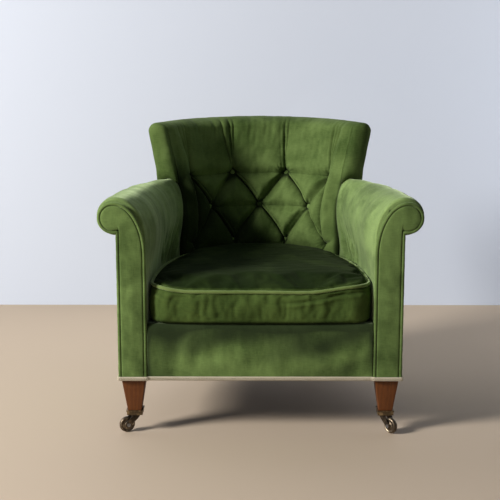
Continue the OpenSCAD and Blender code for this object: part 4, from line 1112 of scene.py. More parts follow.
@dataclass
class Arms:
    """The padded inside arms with their scroll rolls, as the right arm and its mirror image."""

    crest_z: float = 0.590
    rail_z: float = 0.529
    rail_h: float = 0.022
    rail_past: float = 0.022
    # Swell of the inner face: how far, how much of it is gone at the back, and its heights
    belly: float = 0.017
    belly_end: float = 0.95
    belly_z: tuple[float, float] = (0.365, 0.490)
    # The front end, drawn in behind the facing
    front: float = 0.0133
    puff: float = 0.008
    puff_run: float = 0.014
    front_w: float = 0.0357
    foot_z: float = 0.245
    lip_z: float = 0.512
    pad_back: float = 0.001
    # Middle and radius of the scroll at the front and at the back, and how it dies into the wing
    roll_c: tuple[float, float] = (0.037, 0.008)
    roll_r: tuple[float, float] = (0.047, 0.038)
    roll_fade: float = 0.110
    roll_hold: float = 0.025
    # Buttons and their folds: width, lean, and reach upwards and downwards
    button_z: float = 0.393
    button_sink: float = 0.017
    button_shares: tuple[float, float] = (12 / 17, 15 / 17)
    fold_w: float = 0.013
    fold_lean: float = 0.05
    fold_up: float = 0.052
    fold_down: float = 0.030
    # Folds beside each button: distance from it, lean and depth
    side_folds: tuple[Point, ...] = ((-0.023, -0.30, 0.72), (0.019, 0.26, 0.75), (-0.044, -0.55, 0.50))
    side_fold_w: float = 0.006
    # Hollow of the face behind the buttons
    hollow: float = 0.014
    hollow_z: float = 0.395
    hollow_h: float = 0.065
    # Pillows between the folds: distance from the button, half width and share of the full height
    pillows: tuple[Point, ...] = ((-0.033, 0.008, 0.6), (-0.011, 0.007, 0.8), (0.010, 0.006, 0.8),
                                  (0.036, 0.012, 1.0))
    pillow_z: float = 0.410
    pillow_h: float = 0.024
    pillow_out: float = 0.009
    # Painted shade outside the right arm and on the left arm
    right_painted_shade: float = 0.30
    left_painted_shade: float = 0.72
    # Heights of the cover's ripples and of its fine ones
    ripple_h: float = 0.0010
    fine_h: float = 0.00022
    columns: int = 190

    @property
    def run(self) -> float:
        """Running length of the arm, from its front to the wing."""
        return PLAN.length - FACES.wing_s

    @property
    def button_runs(self) -> tuple[float, ...]:
        """Distances of the two buttons from the front of the arm."""
        return tuple(mix(0.050, self.run - self.roll_hold, share) for share in self.button_shares)

    def end(self, fa: Array) -> Array:
        """0 along most of the roll and 1 where it has died into the wing."""
        return rise(fa, self.run - self.roll_hold - self.roll_fade, self.roll_fade)

    def folds(self, fa: Array, z: Array) -> Array:
        """The upright folds at the buttons, from 0 on plain velvet to 1 in the middle of a fold."""
        total = np.zeros(np.broadcast(fa, z).shape)
        up = z - self.button_z
        tall = bump(up, 0.0, np.where(up > 0, self.fold_up, self.fold_down))
        for b in self.button_runs:
            total = np.maximum(total, tall * vee(fa - b - self.fold_lean * up, self.fold_w))
            for shift, lean, deep in self.side_folds:
                side = vee(fa - b - shift - lean * up, self.side_fold_w)
                total = np.maximum(total, deep * tall * side)
        return total

    def sunk(self, fa: Array, z: Array) -> Array:
        """How far the buttons and their folds pull the inner face in, less the pillows between them."""
        hollow = rise(fa, self.run - 0.240, 0.170) * bump(z, self.hollow_z, self.hollow_h)
        tall = bump(z, self.pillow_z, self.pillow_h)
        out = np.zeros(np.broadcast(fa, z).shape)
        for b in self.button_runs:
            for shift, width, full in self.pillows:
                out = np.maximum(out, full * bump(fa, b + shift, width) * tall)
        return self.button_sink * self.folds(fa, z) + self.hollow * hollow - self.pillow_out * out

    def section(self, fa: Array) -> tuple[Array, Array]:
        """Sections of the right arm's padding.

        From its foot the face rises upright, swells over the seat, and turns over the crest in a
        quarter ellipse. Then it runs round the scroll as a circle, and comes back round the arm
        rail.

        Args:
            fa: Distances from the front of the arm, as a column.

        Returns:
            Offsets and heights, by section.
        """
        t = np.minimum(1, (fa - self.front) / self.puff_run)
        back = np.clip((fa - (self.run - 0.020)) / 0.020, 0, 1)
        draw = self.puff * quarter(1 - t)
        w = mix(self.front_w, FACES.arm_pad, rise(fa, 0.045, 0.110)) - 0.4 * draw
        w = w - 0.004 * quarter(back, 0.999)
        b = self.belly * rise(fa, self.front, 0.090)
        b = b * (1 - self.belly_end * rise(fa, self.run - 0.170, 0.160))
        c = mix(mix(self.roll_c[0], self.roll_c[1], fa / self.run), 0, self.end(fa))
        r = mix(self.roll_r[0], self.roll_r[1], np.maximum(fa / self.run * 0.5, self.end(fa))) - draw
        zt = self.crest_z - draw
        zc = zt - r
        over = FACES.cover + 0.002
        a1 = np.arccos(np.minimum(1, (over - c) / r))
        low = np.linspace(self.foot_z, self.belly_z[0], 16)[None, :-1]
        mid = np.linspace(self.belly_z[0], self.belly_z[1], 40)[None, :]
        up = np.concatenate([low, mid], 1)
        span = self.belly_z[1] - self.belly_z[0]
        swell = 0.0005 * np.sin(math.pi * (up - self.foot_z) / (self.belly_z[1] - self.foot_z))
        face = -w - b * rise(up, self.belly_z[0], span) + self.sunk(fa, up) - swell
        q = np.linspace(0, math.pi / 2, 40)[None, 1:]
        turn = c - (c + w + b) * np.cos(q)
        turn_z = self.belly_z[1] + (zt - self.belly_z[1]) * np.sin(q)
        turn = turn + self.sunk(fa, turn_z) * np.cos(q)
        a = math.pi / 2 - (math.pi / 2 + a1) * np.linspace(0, 1, 44)[None, 1:]
        scroll, scroll_z = c + r * np.cos(a), zc + r * np.sin(a)
        z_end = zc - r * np.sin(a1)
        z_lip = np.minimum(z_end - 0.0016, self.lip_z)
        rail_low, rail_top = self.rail_z - CLEAR, self.rail_z + self.rail_h + CLEAR
        cover, past = FACES.cover + CLEAR, c + self.rail_past + CLEAR
        tail = [(over, z_lip), (cover, z_lip), (cover, rail_low), (past, rail_low), (past, rail_top),
                (self.pad_back, rail_top), (self.pad_back, self.foot_z)]
        off = np.concatenate([face, turn, scroll] + [p[0] + 0 * fa for p in tail], 1)
        z = np.concatenate([up + 0 * fa, turn_z + 0 * fa, scroll_z] + [p[1] + 0 * fa for p in tail], 1)
        shown = face.shape[1] + turn.shape[1] + scroll.shape[1]
        around = np.arange(off.shape[1])[None, :] * 0.0035
        ripple = self.ripple_h * rumple(fa + 0 * around, around * 0.5 + 0 * fa, 0.090, 31)
        ripple += self.fine_h * rumple(fa + 0 * around, around * 0.25 + 0 * fa, 0.034, 33)
        live = np.where(np.arange(off.shape[1]) < shown - 2, 1.0, 0.0)[None, :]
        ripple = ripple * (live * rise(z, 0.300, 0.06) * rise(fa, self.front, 0.02))
        return off + ripple * np.clip(off / 0.012, -1, 1), z + ripple * rise(z, 0.55, 0.03)

    def nap(self, fa: Array, off: Array, z: Array) -> Array:
        """Painted light and shade: painted shade in the button folds and where the arm meets the back,
        and a painted highlight over the crest.
        """
        folds = rise(self.folds(fa, z), 0.30, 0.70) * np.where(off < 0, 1.0, 0.0)
        junction = rise(fa, self.run - 0.014, 0.012) * fall(z, 0.600, 0.02)
        crest = bump(z, self.crest_z, 0.06) * np.where(off < 0.07, 1.0, 0.4)
        return 0.2 * crest - 0.70 * folds - 0.9 * junction

    def crest_at(self, off: Array) -> Array:
        """Height of the crest under the wing: a quarter ellipse inside and a circle outside."""
        r = self.roll_r[1]
        w = FACES.arm_pad + self.belly * (1 - self.belly_end)
        inside = (self.belly_z[1]
                  + (self.crest_z - self.belly_z[1]) * np.sqrt(np.clip(1 - (-off / w) ** 2, 0, 1)))
        outside = self.crest_z - r + np.sqrt(np.maximum(0, r * r - off * off))
        return np.where(off > 0, outside, inside)

    def build(self, velvet: Material) -> None:
        """Makes both inside arms and both outside arms."""
        start = self.front + self.puff_run * (1 - np.cos(np.linspace(0, math.pi / 2, 12)))
        middle = np.linspace(self.front + self.puff_run, self.run - 0.022, self.columns)
        last = self.run - CLEAR - 0.0217 * (1 - np.sin(np.linspace(0.05, math.pi / 2, 14)))
        fa = np.concatenate([start[:-1], middle, last])[:, None]
        off, z = self.section(fa)
        right = skin("inside_arm_cover_r", PLAN.at(PLAN.length - fa, off, z))
        # Painted shade on the outer side of the right arm
        paint_light_and_tone(right, self.nap(fa, off, z) - self.right_painted_shade * rise(off, 0.015, 0.035))
        left = mirrored(right, "inside_arm_cover_l")
        # Painted shade on the left arm's inner face, below its crest
        left_arm_shade = fall(z, 0.575, 0.09) * rise(fa, 0.010, 0.06) * np.where(off < 0.02, 1.0, 0.0)
        paint_light_and_tone(left, self.nap(fa, off, z) - self.left_painted_shade * left_arm_shade)
        dress_pair(right, left, velvet, "velvet", "inside_arm", fill=0.85)


@dataclass
class OuterCovers:
    """The taut covers outside the arms and the back."""

    base_z: float = 0.145
    panel_z: float = 0.520
    thick: float = 0.0037
    front: float = 0.0133
    edge_run: float = 0.006
    edge_in: float = 0.0016
    ripple_h: float = 0.0006
    fine_h: float = 0.0003

    def shell(self, name: str, s: Array, zs: Array, seed: int) -> Piece:
        """A thin shell on the outer face: its outside ripples a little and its edges turn in.

        Args:
            name: Name of the piece.
            s: Running lengths of its sections.
            zs: Heights in each section.
            seed: Picks the ripples.

        Returns:
            The piece.
        """
        s, zs = s[:, None], zs[None, :]
        out = FACES.outer(s, zs)
        near_z = np.minimum(zs - zs.min(), zs.max() - zs)
        near_s = np.minimum(np.abs(s - s[0]), np.abs(s - s[-1]))
        edge = np.clip(np.minimum(near_z / self.edge_run, near_s / self.edge_run), 0, 1)
        turned = self.edge_in * (1 - np.sqrt(edge))
        ripple = self.ripple_h * rumple(s, zs * 0.5, 0.11, seed) * edge
        ripple += self.fine_h * rumple(s, zs, 0.035, seed + 1) * edge
        outside = PLAN.at(s, out - turned + ripple - CLEAR, zs)
        inside = PLAN.at(s, out - self.thick, zs)
        return skin(name, np.concatenate([outside, inside[:, ::-1]], 1))

    def build(self, velvet: Material) -> None:
        """Makes the outside back and both outside arms."""
        zs = np.linspace(self.base_z, FACES.top_z - CLEAR, 120)
        s = np.linspace(FACES.wing_s, -FACES.wing_s, 150)
        dress(self.shell("outside_back_cover", s, zs, 41), velvet, "chair", "velvet", ("outside_back",))
        zs = np.linspace(self.base_z, self.panel_z, 80)
        s = np.linspace(FACES.wing_s + CLEAR, PLAN.length - self.front, 110)
        right = self.shell("outside_arm_cover_r", s, zs, 51)
        dress_pair(right, mirrored(right, "outside_arm_cover_l"), velvet, "velvet", "outside_arm")


@dataclass
class Facings:
    """The scroll-shaped fronts of the arms, with piping round them."""

    c: float = 0.0405
    r: float = 0.0385
    z: float = 0.541
    w: float = 0.036
    mid_z: float = 0.450
    neck: float = 0.035
    base_z: float = 0.145
    face_d: float = -0.003
    back_d: float = 0.0128
    pipe_d: float = 0.0025
    # Painted shade on the right facing and its piping
    right_painted_shade: float = -0.12
    pipe_r: float = 0.0042
    dome: float = 0.0022
    rows: int = 60
    strips: int = 190

    def outline(self, inset: float, count: int = 40) -> tuple[Array, int]:
        """The scroll outline drawn in by a distance.

        It goes up the inner side, over in a quarter ellipse, round the scroll and down.

        Args:
            inset: Distance in from the cut edge.
            count: Points in each round stretch.

        Returns:
            Offsets and heights, and the number of points before the outer side starts.
        """
        w, r, neck, rows = self.w - inset, self.r - inset, self.neck - inset, self.rows
        a1 = math.acos((neck - self.c) / r)
        side = np.stack([np.full(rows, -w), np.linspace(self.base_z, self.mid_z, rows)], -1)
        q = np.linspace(0, math.pi / 2, count)[1:]
        over = np.stack([self.c - (self.c + w) * np.cos(q),
                         self.mid_z + (self.z + r - self.mid_z) * np.sin(q)], -1)
        a = math.pi / 2 - (math.pi / 2 + a1) * np.linspace(0, 1, int(count * 1.6))[1:]
        scroll = np.stack([self.c + r * np.cos(a), self.z + r * np.sin(a)], -1)
        lower = np.linspace(scroll[-1, 1], self.base_z, rows + 1)[1:]
        down = np.stack([np.full(rows, neck), lower], -1)
        return np.concatenate([side, over, scroll, down]), len(side) + len(over) + len(scroll)

    def place(self, flat: Array, d: Array | float) -> Array:
        """Points of the right facing from offsets and heights, at a depth."""
        y = np.broadcast_to(np.asarray(PLAN.level(d), float), flat.shape[:-1])
        return np.stack([PLAN.half_w + flat[..., 0], y, flat[..., 1]], -1)

    def panel(self) -> Piece:
        """The facing: strips across it, domed as the root of the distance to both its edges."""
        line, turn = self.outline(2 * self.pipe_r + 0.0001)
        tip = turn - 30
        inner = resample(line[: tip + 1], self.strips, False)
        outer = resample(line[tip:][::-1], self.strips, False)
        u = np.linspace(0, 1, 26)[None, :, None]
        flat = inner[:, None] * (1 - u) + outer[:, None] * u
        width = np.linalg.norm(inner - outer, axis=1)[:, None]
        full = np.sqrt(np.clip(4 * u[..., 0] * (1 - u[..., 0]), 0, 1)) * np.minimum(1, width / 0.05)
        ripple = 0.0004 * rumple(flat[..., 0], flat[..., 1], 0.035, 61)
        front = self.place(flat, self.face_d + self.dome * (1 - full) + ripple * full)
        back = self.place(flat[:, ::-1], self.back_d)
        return skin("arm_facing_cover_r", np.concatenate([front, back], 1)[:-1])

    def piping(self) -> Piece:
        """The piping: a round cord in velvet along the outline, a little uneven."""
        line, _ = self.outline(self.pipe_r - 0.0002)
        path = self.place(resample(line, 420, False), self.pipe_d)
        run = np.linspace(0, 1, len(path))
        radius = self.pipe_r * (1 + 0.03 * np.sin(run * 260) + 0.03 * np.sin(run * 91 + 1))
        return skin("facing_piping_cover_r", tube_rings(path, radius, 12, (0, 1, 0), False))

    def build(self, velvet: Material) -> None:
        """Makes both facings and their piping."""
        for make, slot, node, fill in ((self.panel, "velvet", "arm_facing", 0.9),
                                       (self.piping, "piping", "facing_piping", None)):
            right = make()
            left = mirrored(right, right.name[:-1] + "l")
            # Painted shade on the right twin
            paint_light_and_tone(right, self.right_painted_shade)
            dress_pair(right, left, velvet, slot, node, fill=fill)


@dataclass
class FrontBorder:
    """The velvet border across the front, under the cushion."""

    half: float = 0.2754
    base_z: float = 0.145
    deck_z: float = 0.281
    front_d: float = 0.001
    back_d: float = 0.042
    inner_d: float = 0.0137
    shelf_z: float = 0.2143
    bulge: float = 0.0025
    turn: float = 0.018

    def build(self, velvet: Material) -> None:
        """Makes the border: one section all along, with a half sine of bulge and a rounded top."""
        x = np.linspace(-self.half, self.half, 190)[:, None]
        z = np.linspace(self.base_z, self.deck_z - self.turn, 56)[None, :]
        arch = np.sin(math.pi * (z - self.base_z) / (self.deck_z - self.turn - self.base_z))
        slack = 1 + 0.35 * np.sin(x * 9 + 1) + 0.2 * rumple(x, z, 0.16, 71)
        d = self.front_d - self.bulge * arch * slack
        d = d + 0.0007 * rumple(x, z, 0.060, 73) * arch
        a = np.linspace(0, math.pi / 2, 14)[None, 1:]
        top_d = self.front_d + 0.012 - 0.012 * np.cos(a) + 0 * x
        top_z = self.deck_z - self.turn + self.turn * np.sin(a) + 0 * x
        tail = [(self.back_d, self.deck_z), (self.back_d, self.shelf_z), (self.inner_d, self.shelf_z),
                (self.inner_d, self.base_z)]
        depth = np.concatenate([d, top_d] + [np.full_like(x, p[0]) for p in tail], 1)
        height = np.concatenate([z + 0 * x, top_z] + [np.full_like(x, p[1]) for p in tail], 1)
        rings = np.stack([x + 0 * depth, PLAN.level(depth), height], -1)
        cover = skin("front_border_cover", rings)
        # Painted shade at the ends beside the arms
        ends = rise(np.abs(x), self.half - 0.012, 0.012)
        patch = 0.40 * rumple(x * 0.7, height * 1.3, 0.170, 75) + 0.20 * rumple(x, height, 0.075, 77)
        # Painted shade under the cushion, stronger towards the top; the patches are random tone
        drop = height - self.deck_z + 0.003 * rumple(x, 0 * height, 0.30, 79)
        under = 0.80 * rise(drop, -0.098, 0.092) + 0.50 * rise(drop, -0.022, 0.018)
        paint_light_and_tone(cover, patch * (1 - 0.7 * np.minimum(under, 1.0)) - under - 0.5 * ends)
        dress(cover, velvet, "chair", "velvet", ("front_border",), fill=0.8)


@dataclass
class Buttons:
    """Velvet-covered buttons of the back and the arms."""

    radius: float = 0.0072
    height: float = 0.0052
    rim: float = 0.0014
    back_lift: float = 0.0025
    arm_lift: float = 0.0015
    sides: int = 28

    def cap(self, centre: Array, out: Array) -> tuple[Array, Array]:
        """One button: rings that shrink as a cosine while they rise as a sine, about its axis.

        Args:
            centre: Middle of its underside.
            out: Direction of its axis.

        Returns:
            Points and faces.
        """
        out = out / np.linalg.norm(out)
        side = np.cross(out, (0, 0, 1.0))
        side /= np.linalg.norm(side)
        up = np.cross(side, out)
        a = np.linspace(0, math.pi / 2 * 0.97, 9)
        r = np.concatenate([[0.05, 0.8], np.cos(a)]) * self.radius
        h = np.concatenate([[0, 0], self.rim + (self.height - self.rim) * np.sin(a)])
        turn = np.arange(self.sides)[:, None] * TAU / self.sides
        rings = (centre + h[:, None, None] * out
                 + r[:, None, None] * (np.cos(turn) * side + np.sin(turn) * up))
        return rings.reshape(-1, 3), grid_quads(len(r), self.sides, False, True)

    def seats(self, back: InsideBack, arms: Arms) -> list[tuple[float, float, float, float]]:
        """Running length, offset, height and slope of the padding at each button."""
        seats, step = [], 0.01
        for s, z in back.buttons():
            place = np.array([s]), np.array([z])
            off = FACES.inner(*place) + back.face_field(*place)[0]
            slope = float((FACES.inner(place[0], place[1] + step) - FACES.inner(*place))[0]) / step
            seats.append((s, float(off[0]) - self.back_lift, z, slope))
        for run in arms.button_runs:
            grid_off, grid_z = arms.section(np.array([[run]]))
            near = int(np.argmin(np.abs(grid_z[0, :50] - arms.button_z)))
            off = float(grid_off[0, near]) - self.arm_lift
            seats += [(side.value * (PLAN.length - run), off, arms.button_z, 0.0) for side in Side]
        return seats

    def build(self, velvet: Material, back: InsideBack, arms: Arms) -> None:
        """Makes all the buttons as one piece, each seated in its hollow and facing out of the padding.

        Args:
            velvet: Finish.
            back: The buttoned back.
            arms: The arms.
        """
        points, quads, ends, count, n = [], [], [], 0, self.sides
        for s, off, z, slope in self.seats(back, arms):
            here = PLAN.at(np.array(s), np.array(off), np.array(z))
            inward = PLAN.at(np.array(s), np.array(off - 0.01), np.array(z)) - here
            p, q = self.cap(here, unit_rows(inward) + np.array([0, 0, slope]))
            points.append(p)
            quads.append(q + count)
            ends += [list(range(count + n - 1, count - 1, -1)),
                     list(range(count + len(p) - n, count + len(p)))]
            count += len(p)
        piece = outwards(mesh_piece("tuft_buttons_cover", np.concatenate(points),
                                    np.concatenate(quads), ends))
        dress(piece, velvet, "chair", "velvet", ("tuft_buttons",))


@dataclass
class Gimp:
    """Cream braid along the bottom edge: a band with a rounded face and two wavy cords on it."""

    low_z: float = 0.140
    tall: float = 0.010
    thick: float = 0.0018
    gap: float = 0.0004
    cord_r: float = 0.0009
    wave: float = 0.0030
    wave_len: float = 0.0080

    def path(self) -> Array:
        """The line round the base, outside the covers, with its corners rounded."""
        s = np.linspace(PLAN.length, -PLAN.length, 700)
        around = PLAN.at(s, FACES.cover, 0.0)[:, :2]
        f, b = PLAN.level(Facings.face_d), PLAN.level(FrontBorder.front_d)
        edge, inner = PLAN.half_w + FACES.cover, FrontBorder.half
        front = np.array([[-edge, f], [-inner, f], [-inner, b], [inner, b], [inner, f], [edge, f]])
        line = resample(np.concatenate([around, front]), 1500, True)
        return soften(line, 6)

    def offset(self, line: Array, out: Array | float) -> Array:
        """The line moved outwards by a distance."""
        ahead = unit_rows(np.roll(line, -1, 0) - np.roll(line, 1, 0))
        normal = np.stack([-ahead[:, 1], ahead[:, 0]], -1)
        if np.einsum("ij,ij->i", normal, line).mean() < 0:
            normal = -normal
        return line + normal * np.asarray(out).reshape(-1, 1)

    def build(self, braid: Material) -> None:
        """Makes the band and its cords."""
        line = self.path()
        a = np.linspace(0, math.pi, 9)
        outs = np.concatenate([[0, 0], self.thick * (0.55 + 0.45 * np.sin(a))]) + self.gap
        zs = np.concatenate([[self.tall, 0], self.tall * (1 - np.cos(a)) / 2]) + self.low_z
        rings = np.stack([np.concatenate([self.offset(line, o), np.full((len(line), 1), z)], 1)
                          for o, z in zip(outs, zs)], 1)
        dress(skin("gimp_band", rings, loop=True), braid, "chair", "braid", ("gimp",))
        total = run_length(line)[-1] + np.linalg.norm(line[0] - line[-1])
        waves = round(total / self.wave_len)
        fine = resample(line, waves * 10, True)
        turn = np.arange(len(fine)) / len(fine) * waves * TAU
        for k, phase in enumerate((0.0, math.pi)):
            weave = self.gap + self.thick + self.cord_r * (0.4 + 0.5 * np.cos(2 * turn + phase))
            flat = self.offset(fine, weave)
            z = self.low_z + self.tall / 2 + self.wave * np.sin(turn + phase)
            cord = np.concatenate([flat, z[:, None]], 1)
            rings = tube_rings(cord, self.cord_r, 5, (0, 0, 1), True)
            dress(skin(f"gimp_cord_{k + 1}", rings, loop=True), braid, "chair", "braid")


@dataclass
class Cushion:
    """The loose seat cushion: two panels and a boxing between two pipings."""

    side_gap: float = 0.002
    front_d: float = -0.002
    bow: float = 0.003
    mid_d: float = 0.270
    low_z: float = 0.2812
    pipe_z: float = 0.0800
    crown: float = 0.111
    corner: float = 0.062
    low_corner: float = 0.046
    lift: float = 0.0125
    skew: float = 0.022
    sag: float = 0.0015
    tuck: float = 0.009
    pipe_r: float = 0.0042
    lie: float = 0.0008
    voxel: float = 0.006
    cap: float = 0.005
    held: float = 0.0065
    seam_points: int = 420
    # Heights of the boxing's wrinkles, long crease and ripples, and the shade per metre of depth
    wrinkle_h: float = 0.0016
    crease_h: float = 0.0026
    ripple_h: float = 0.0005
    crease_shade: float = 220.0
    # Wrinkles of the front boxing: lean, place across the chair, half width and depth
    wrinkles: tuple[tuple[float, float, float, float], ...] = (
        (2.6, -0.232, 0.012, -1.2), (1.9, -0.185, 0.012, -0.5), (1.3, -0.120, 0.015, 0.6),
        (-1.2, -0.050, 0.017, 0.4), (1.6, 0.010, 0.015, -0.4), (-1.4, 0.120, 0.020, 0.4))

    @property
    def groove(self) -> float:
        """Distance of the panels from the edge, inside the piping."""
        return 2 * self.pipe_r + 2 * CLEAR

    def outline(self, count: int, c: float) -> Array:
        """The edge from above: along the tub, round front corners of radius c, and across the front."""
        x = PLAN.half_w - FACES.arm_pad - self.side_gap
        s_end = PLAN.length - self.front_d - c - 0.006
        s = np.linspace(s_end, -s_end, 500)
        tub = PLAN.at(s, -FACES.seat_pad(s) - self.side_gap, 0.0)[:, :2]
        a = np.linspace(math.pi, 1.5 * math.pi, 30)
        left = np.stack([-x + c + c * np.cos(a), PLAN.level(self.front_d + c + c * np.sin(a))], -1)
        t = np.linspace(-1, 1, 80)[1:-1]
        front = np.stack([t * (x - c), PLAN.level(self.front_d - self.bow * (1 - t**2))], -1)
        right = left[::-1] * np.array([-1.0, 1.0])
        return soften(resample(np.concatenate([tub, left, front, right]), count, True), 3)

    def inset(self, line: Array, by: float) -> Array:
        """The edge moved inwards by a distance."""
        ahead = unit_rows(np.roll(line, -1, 0) - np.roll(line, 1, 0))
        return line + np.stack([ahead[:, 1], -ahead[:, 0]], -1) * -by * self.hand(line)

    def hand(self, line: Array) -> float:
        """1 if the edge runs anticlockwise seen from above, and -1 if not."""
        nxt = np.roll(line, -1, 0)
        area = (line[:, 0] * nxt[:, 1] - nxt[:, 0] * line[:, 1]).sum()
        return 1.0 if area > 0 else -1.0

    def seam_h(self, line: Array, share: float) -> Array:
        """Height of a seam above the seat, from the lower one at share 0 to the upper one at share 1.

        The upper seam is lowest across the front and rises to the corners and the sides.
        """
        depth = line[:, 1] + PLAN.mid
        side = np.maximum(rise(np.abs(line[:, 0] + self.skew), 0.142, 0.120), rise(depth, 0.045, 0.080))
        sag = self.sag * bump(line[:, 0], 0.09, 0.05)
        return mix(self.pipe_r + self.lie, self.pipe_z + self.lift * side - sag * (1 - side), share)

    def seam(self, inset: float, share: float, count: int) -> Array:
        """The line of a seam, or of the cord beside it, at an inset from the cushion's edge."""
        line = self.outline(count, self.corner)
        z = self.low_z + self.seam_h(line, share)
        return np.concatenate([self.inset(line, inset), z[:, None]], 1)

    def levels(self) -> list[tuple[float, float, float, float]]:
        """The cushion's levels, from its underside to its crown.

        Returns:
            Inset, shrink towards the middle, share up the boxing and share up the crown, by level.
        """
        g = self.groove
        under = [(g + self.tuck + 0.004, 0.85 * (1 - k / 10), -1.0, 0.0) for k in range(11)]
        hem = [(g + self.tuck, 0.0, -1.0, 0.0), (g, 0.0, -0.5, 0.0), (0.0050, 0.0, -0.2, 0.0),
               (0.0022, 0.0, 0.0, 0.0), (0.0012, 0.0, 0.03, 0.0), (0.0008, 0.0, 0.08, 0.0)]
        box = []
        for k in range(14):
            share = 0.13 + 0.87 * k / 13
            turned = 1 - math.sqrt(max(0.0, 1 - max(0.0, (share - 0.80) / 0.20) ** 2))
            box.append((0.0008 + (g - 0.0008) * turned, 0.0, share, 0.0))
        top = []
        for t in (k / 18 for k in range(1, 19)):
            crown = math.sin(math.pi / 2 * min(1.0, 1.35 * t**0.62))
            top.append((g + 0.008 * min(1.0, 3 * t), 0.85 * t**1.5, 1.0, crown))
        return under + hem + box + top

    def shape(self) -> Array:
        """The cushion before it is filled: rings of its edge, drawn in and raised level by level."""
        upper, lower = self.outline(300, self.corner), self.outline(300, self.low_corner)
        middle = np.array([0.0, PLAN.level(self.mid_d)])
        rings = []
        for inset, shrink, box, crown in self.levels():
            line = mix(lower, upper, float(rise(box, 0.55, 0.45)) if box >= 0 else 0.0)
            flat = self.inset(line, inset) * (1 - shrink) + middle * shrink
            seam = self.seam_h(line, max(box, 0.0))
            h = seam * (1 + box) * 0.5
            if box >= 0:
                h = mix(mix(0.5 * seam, seam, min(1.0, box / 0.03)), self.crown, crown)
            rings.append(np.concatenate([flat, (self.low_z + h)[:, None]], 1))
        return np.array(rings)

    def fill(self, piece: Piece) -> None:
        """Remeshes the cushion evenly and lets pressure swell the cloth between its pinned seams."""
        remesh = piece.modifiers.new("even", "REMESH")
        remesh.mode = "VOXEL"
        remesh.voxel_size = self.voxel
        bake(piece)
        co = vertex_array(piece.data)
        seams = np.concatenate([self.seam(self.groove, 1.0, self.seam_points),
                                self.seam(0.002, 0.0, self.seam_points)])
        hold = (nearest(co, seams) < self.held) | (co[:, 2] < self.low_z + 0.002)
        inflate(piece, hold, Filling(cap=self.cap))
        finer = piece.modifiers.new("finer", "SUBSURF")
        finer.levels = finer.render_levels = 1
        bake(piece)

    def creases(self, piece: Piece) -> None:
        """Presses wrinkles into the front boxing and paints light and shade on the whole cushion.

        On the left they fan down from the corner, and on the right one long crease runs below the
        piping.
        """
        co = vertex_array(piece.data)
        x, z, depth = co[:, 0], co[:, 2] - self.low_z, co[:, 1] + PLAN.mid
        edge = np.stack([x, co[:, 1]], -1)
        front = fall(depth, 0.045, 0.03)
        top = self.seam_h(edge, 1.0)
        share = z / top
        between = rise(share, 0.10, 0.15) * fall(share, 0.96, 0.12)
        fan = np.zeros(len(co))
        for lean, at, wide, deep in self.wrinkles:
            line = x - at - lean * (0.060 - z)
            fan += deep * (bump(line, 0.0, wide) - 0.7 * bump(line, wide * 1.4, wide))
        long_z = top - 0.015 - 0.012 * fall(x, 0.22, 0.20)
        long = bump(z, long_z, 0.0035) - 0.9 * bump(z, long_z - 0.0075, 0.0050)
        press = self.wrinkle_h * fan + self.crease_h * long * rise(x, 0.02, 0.09)
        press += self.ripple_h * rumple(x, z * 0.8, 0.060, 91)
        press *= front * between
        co[:, 1] += press
        over = rise(share, 1.02, 0.1)
        seat = 0.0006 * rumple(x, depth, 0.085, 93) + 0.0004 * rumple(x * 0.5, depth, 0.034, 95)
        co[:, 2] += seat * rise(z, 0.095, 0.010)
        move_points(piece.data, co)
        # Painted shade below the top piping, and along the foot of the boxing
        groove = bump(share, 0.97, 0.045) * (1 - rise(z, top, 0.004))
        hem = fall(share, 0.16, 0.12)
        # Painted highlight on the front boxing, and painted shade on the top panel, less where the seat
        # is worn
        boxing = 0.85 * (1 - over) * fall(depth, 0.06, 0.03)
        worn = 0.22 * smooth(rumple(x, depth * 0.6, 0.120, 97))
        # Painted shade in the pressed wrinkles
        shade = groove + 1.2 * hem + self.crease_shade * np.maximum(0, press) * front
        paint_light_and_tone(piece, boxing - (0.90 - worn) * over - shade)

    def build(self, velvet: Material, piping: Material) -> None:
        """Makes the filled cushion and both pipings."""
        body = skin("seat_cushion_cover", self.shape())
        self.fill(body)
        self.creases(body)
        dress(body, velvet, "seat_cushion", "velvet", ("cushion",), fill=0.75)
        for name, inset, share in (("top", self.pipe_r, 1.0), ("bottom", self.pipe_r + self.tuck, 0.0)):
            path = self.seam(inset, share, 460)
            turn = np.arange(len(path)) / len(path) * TAU
            radius = self.pipe_r * (1 + 0.03 * np.sin(turn * 61) + 0.02 * np.sin(turn * 37 + 2))
            cord = skin(f"cushion_piping_{name}_cover", tube_rings(path, radius, 12, (0, 0, 1), True),
                        loop=True)
            # The top piping takes the lighter copy of the velvet, a painted highlight; the bottom one
            # takes the plain velvet
            finish = piping if name == "top" else velvet
            dress(cord, finish, "seat_cushion", "piping", (f"cushion_piping_{name}",))


def nearest(points: Array, targets: Array) -> Array:
    """Distance from each point to the closest target."""
    best = np.full(len(points), np.inf)
    for start in range(0, len(targets), 60):
        part = targets[start:start + 60]
        gap = ((points[:, None] - part[None]) ** 2).sum(-1).min(1)
        best = np.minimum(best, gap)
    return np.sqrt(best)


def bake(piece: Piece) -> None:
    """Turns a piece's modifiers into its mesh."""
    graph = bpy.context.evaluated_depsgraph_get()
    graph.update()
    mesh = bpy.data.meshes.new_from_object(piece.evaluated_get(graph))
    old = piece.data
    piece.modifiers.clear()
    piece.data = mesh
    bpy.data.meshes.remove(old)
    piece.data.shade_smooth()


@dataclass(frozen=True)
class Filling:
    """How a padded piece is filled: `cap` is the furthest that a point moves."""

    cap: float
    pressure: float = 3.2
    shrink: float = -0.035
    frames: int = 26
    quality: int = 6
    mass: float = 0.35
    stretch: float = 25
    shear: float = 8
    bending: float = 0.6


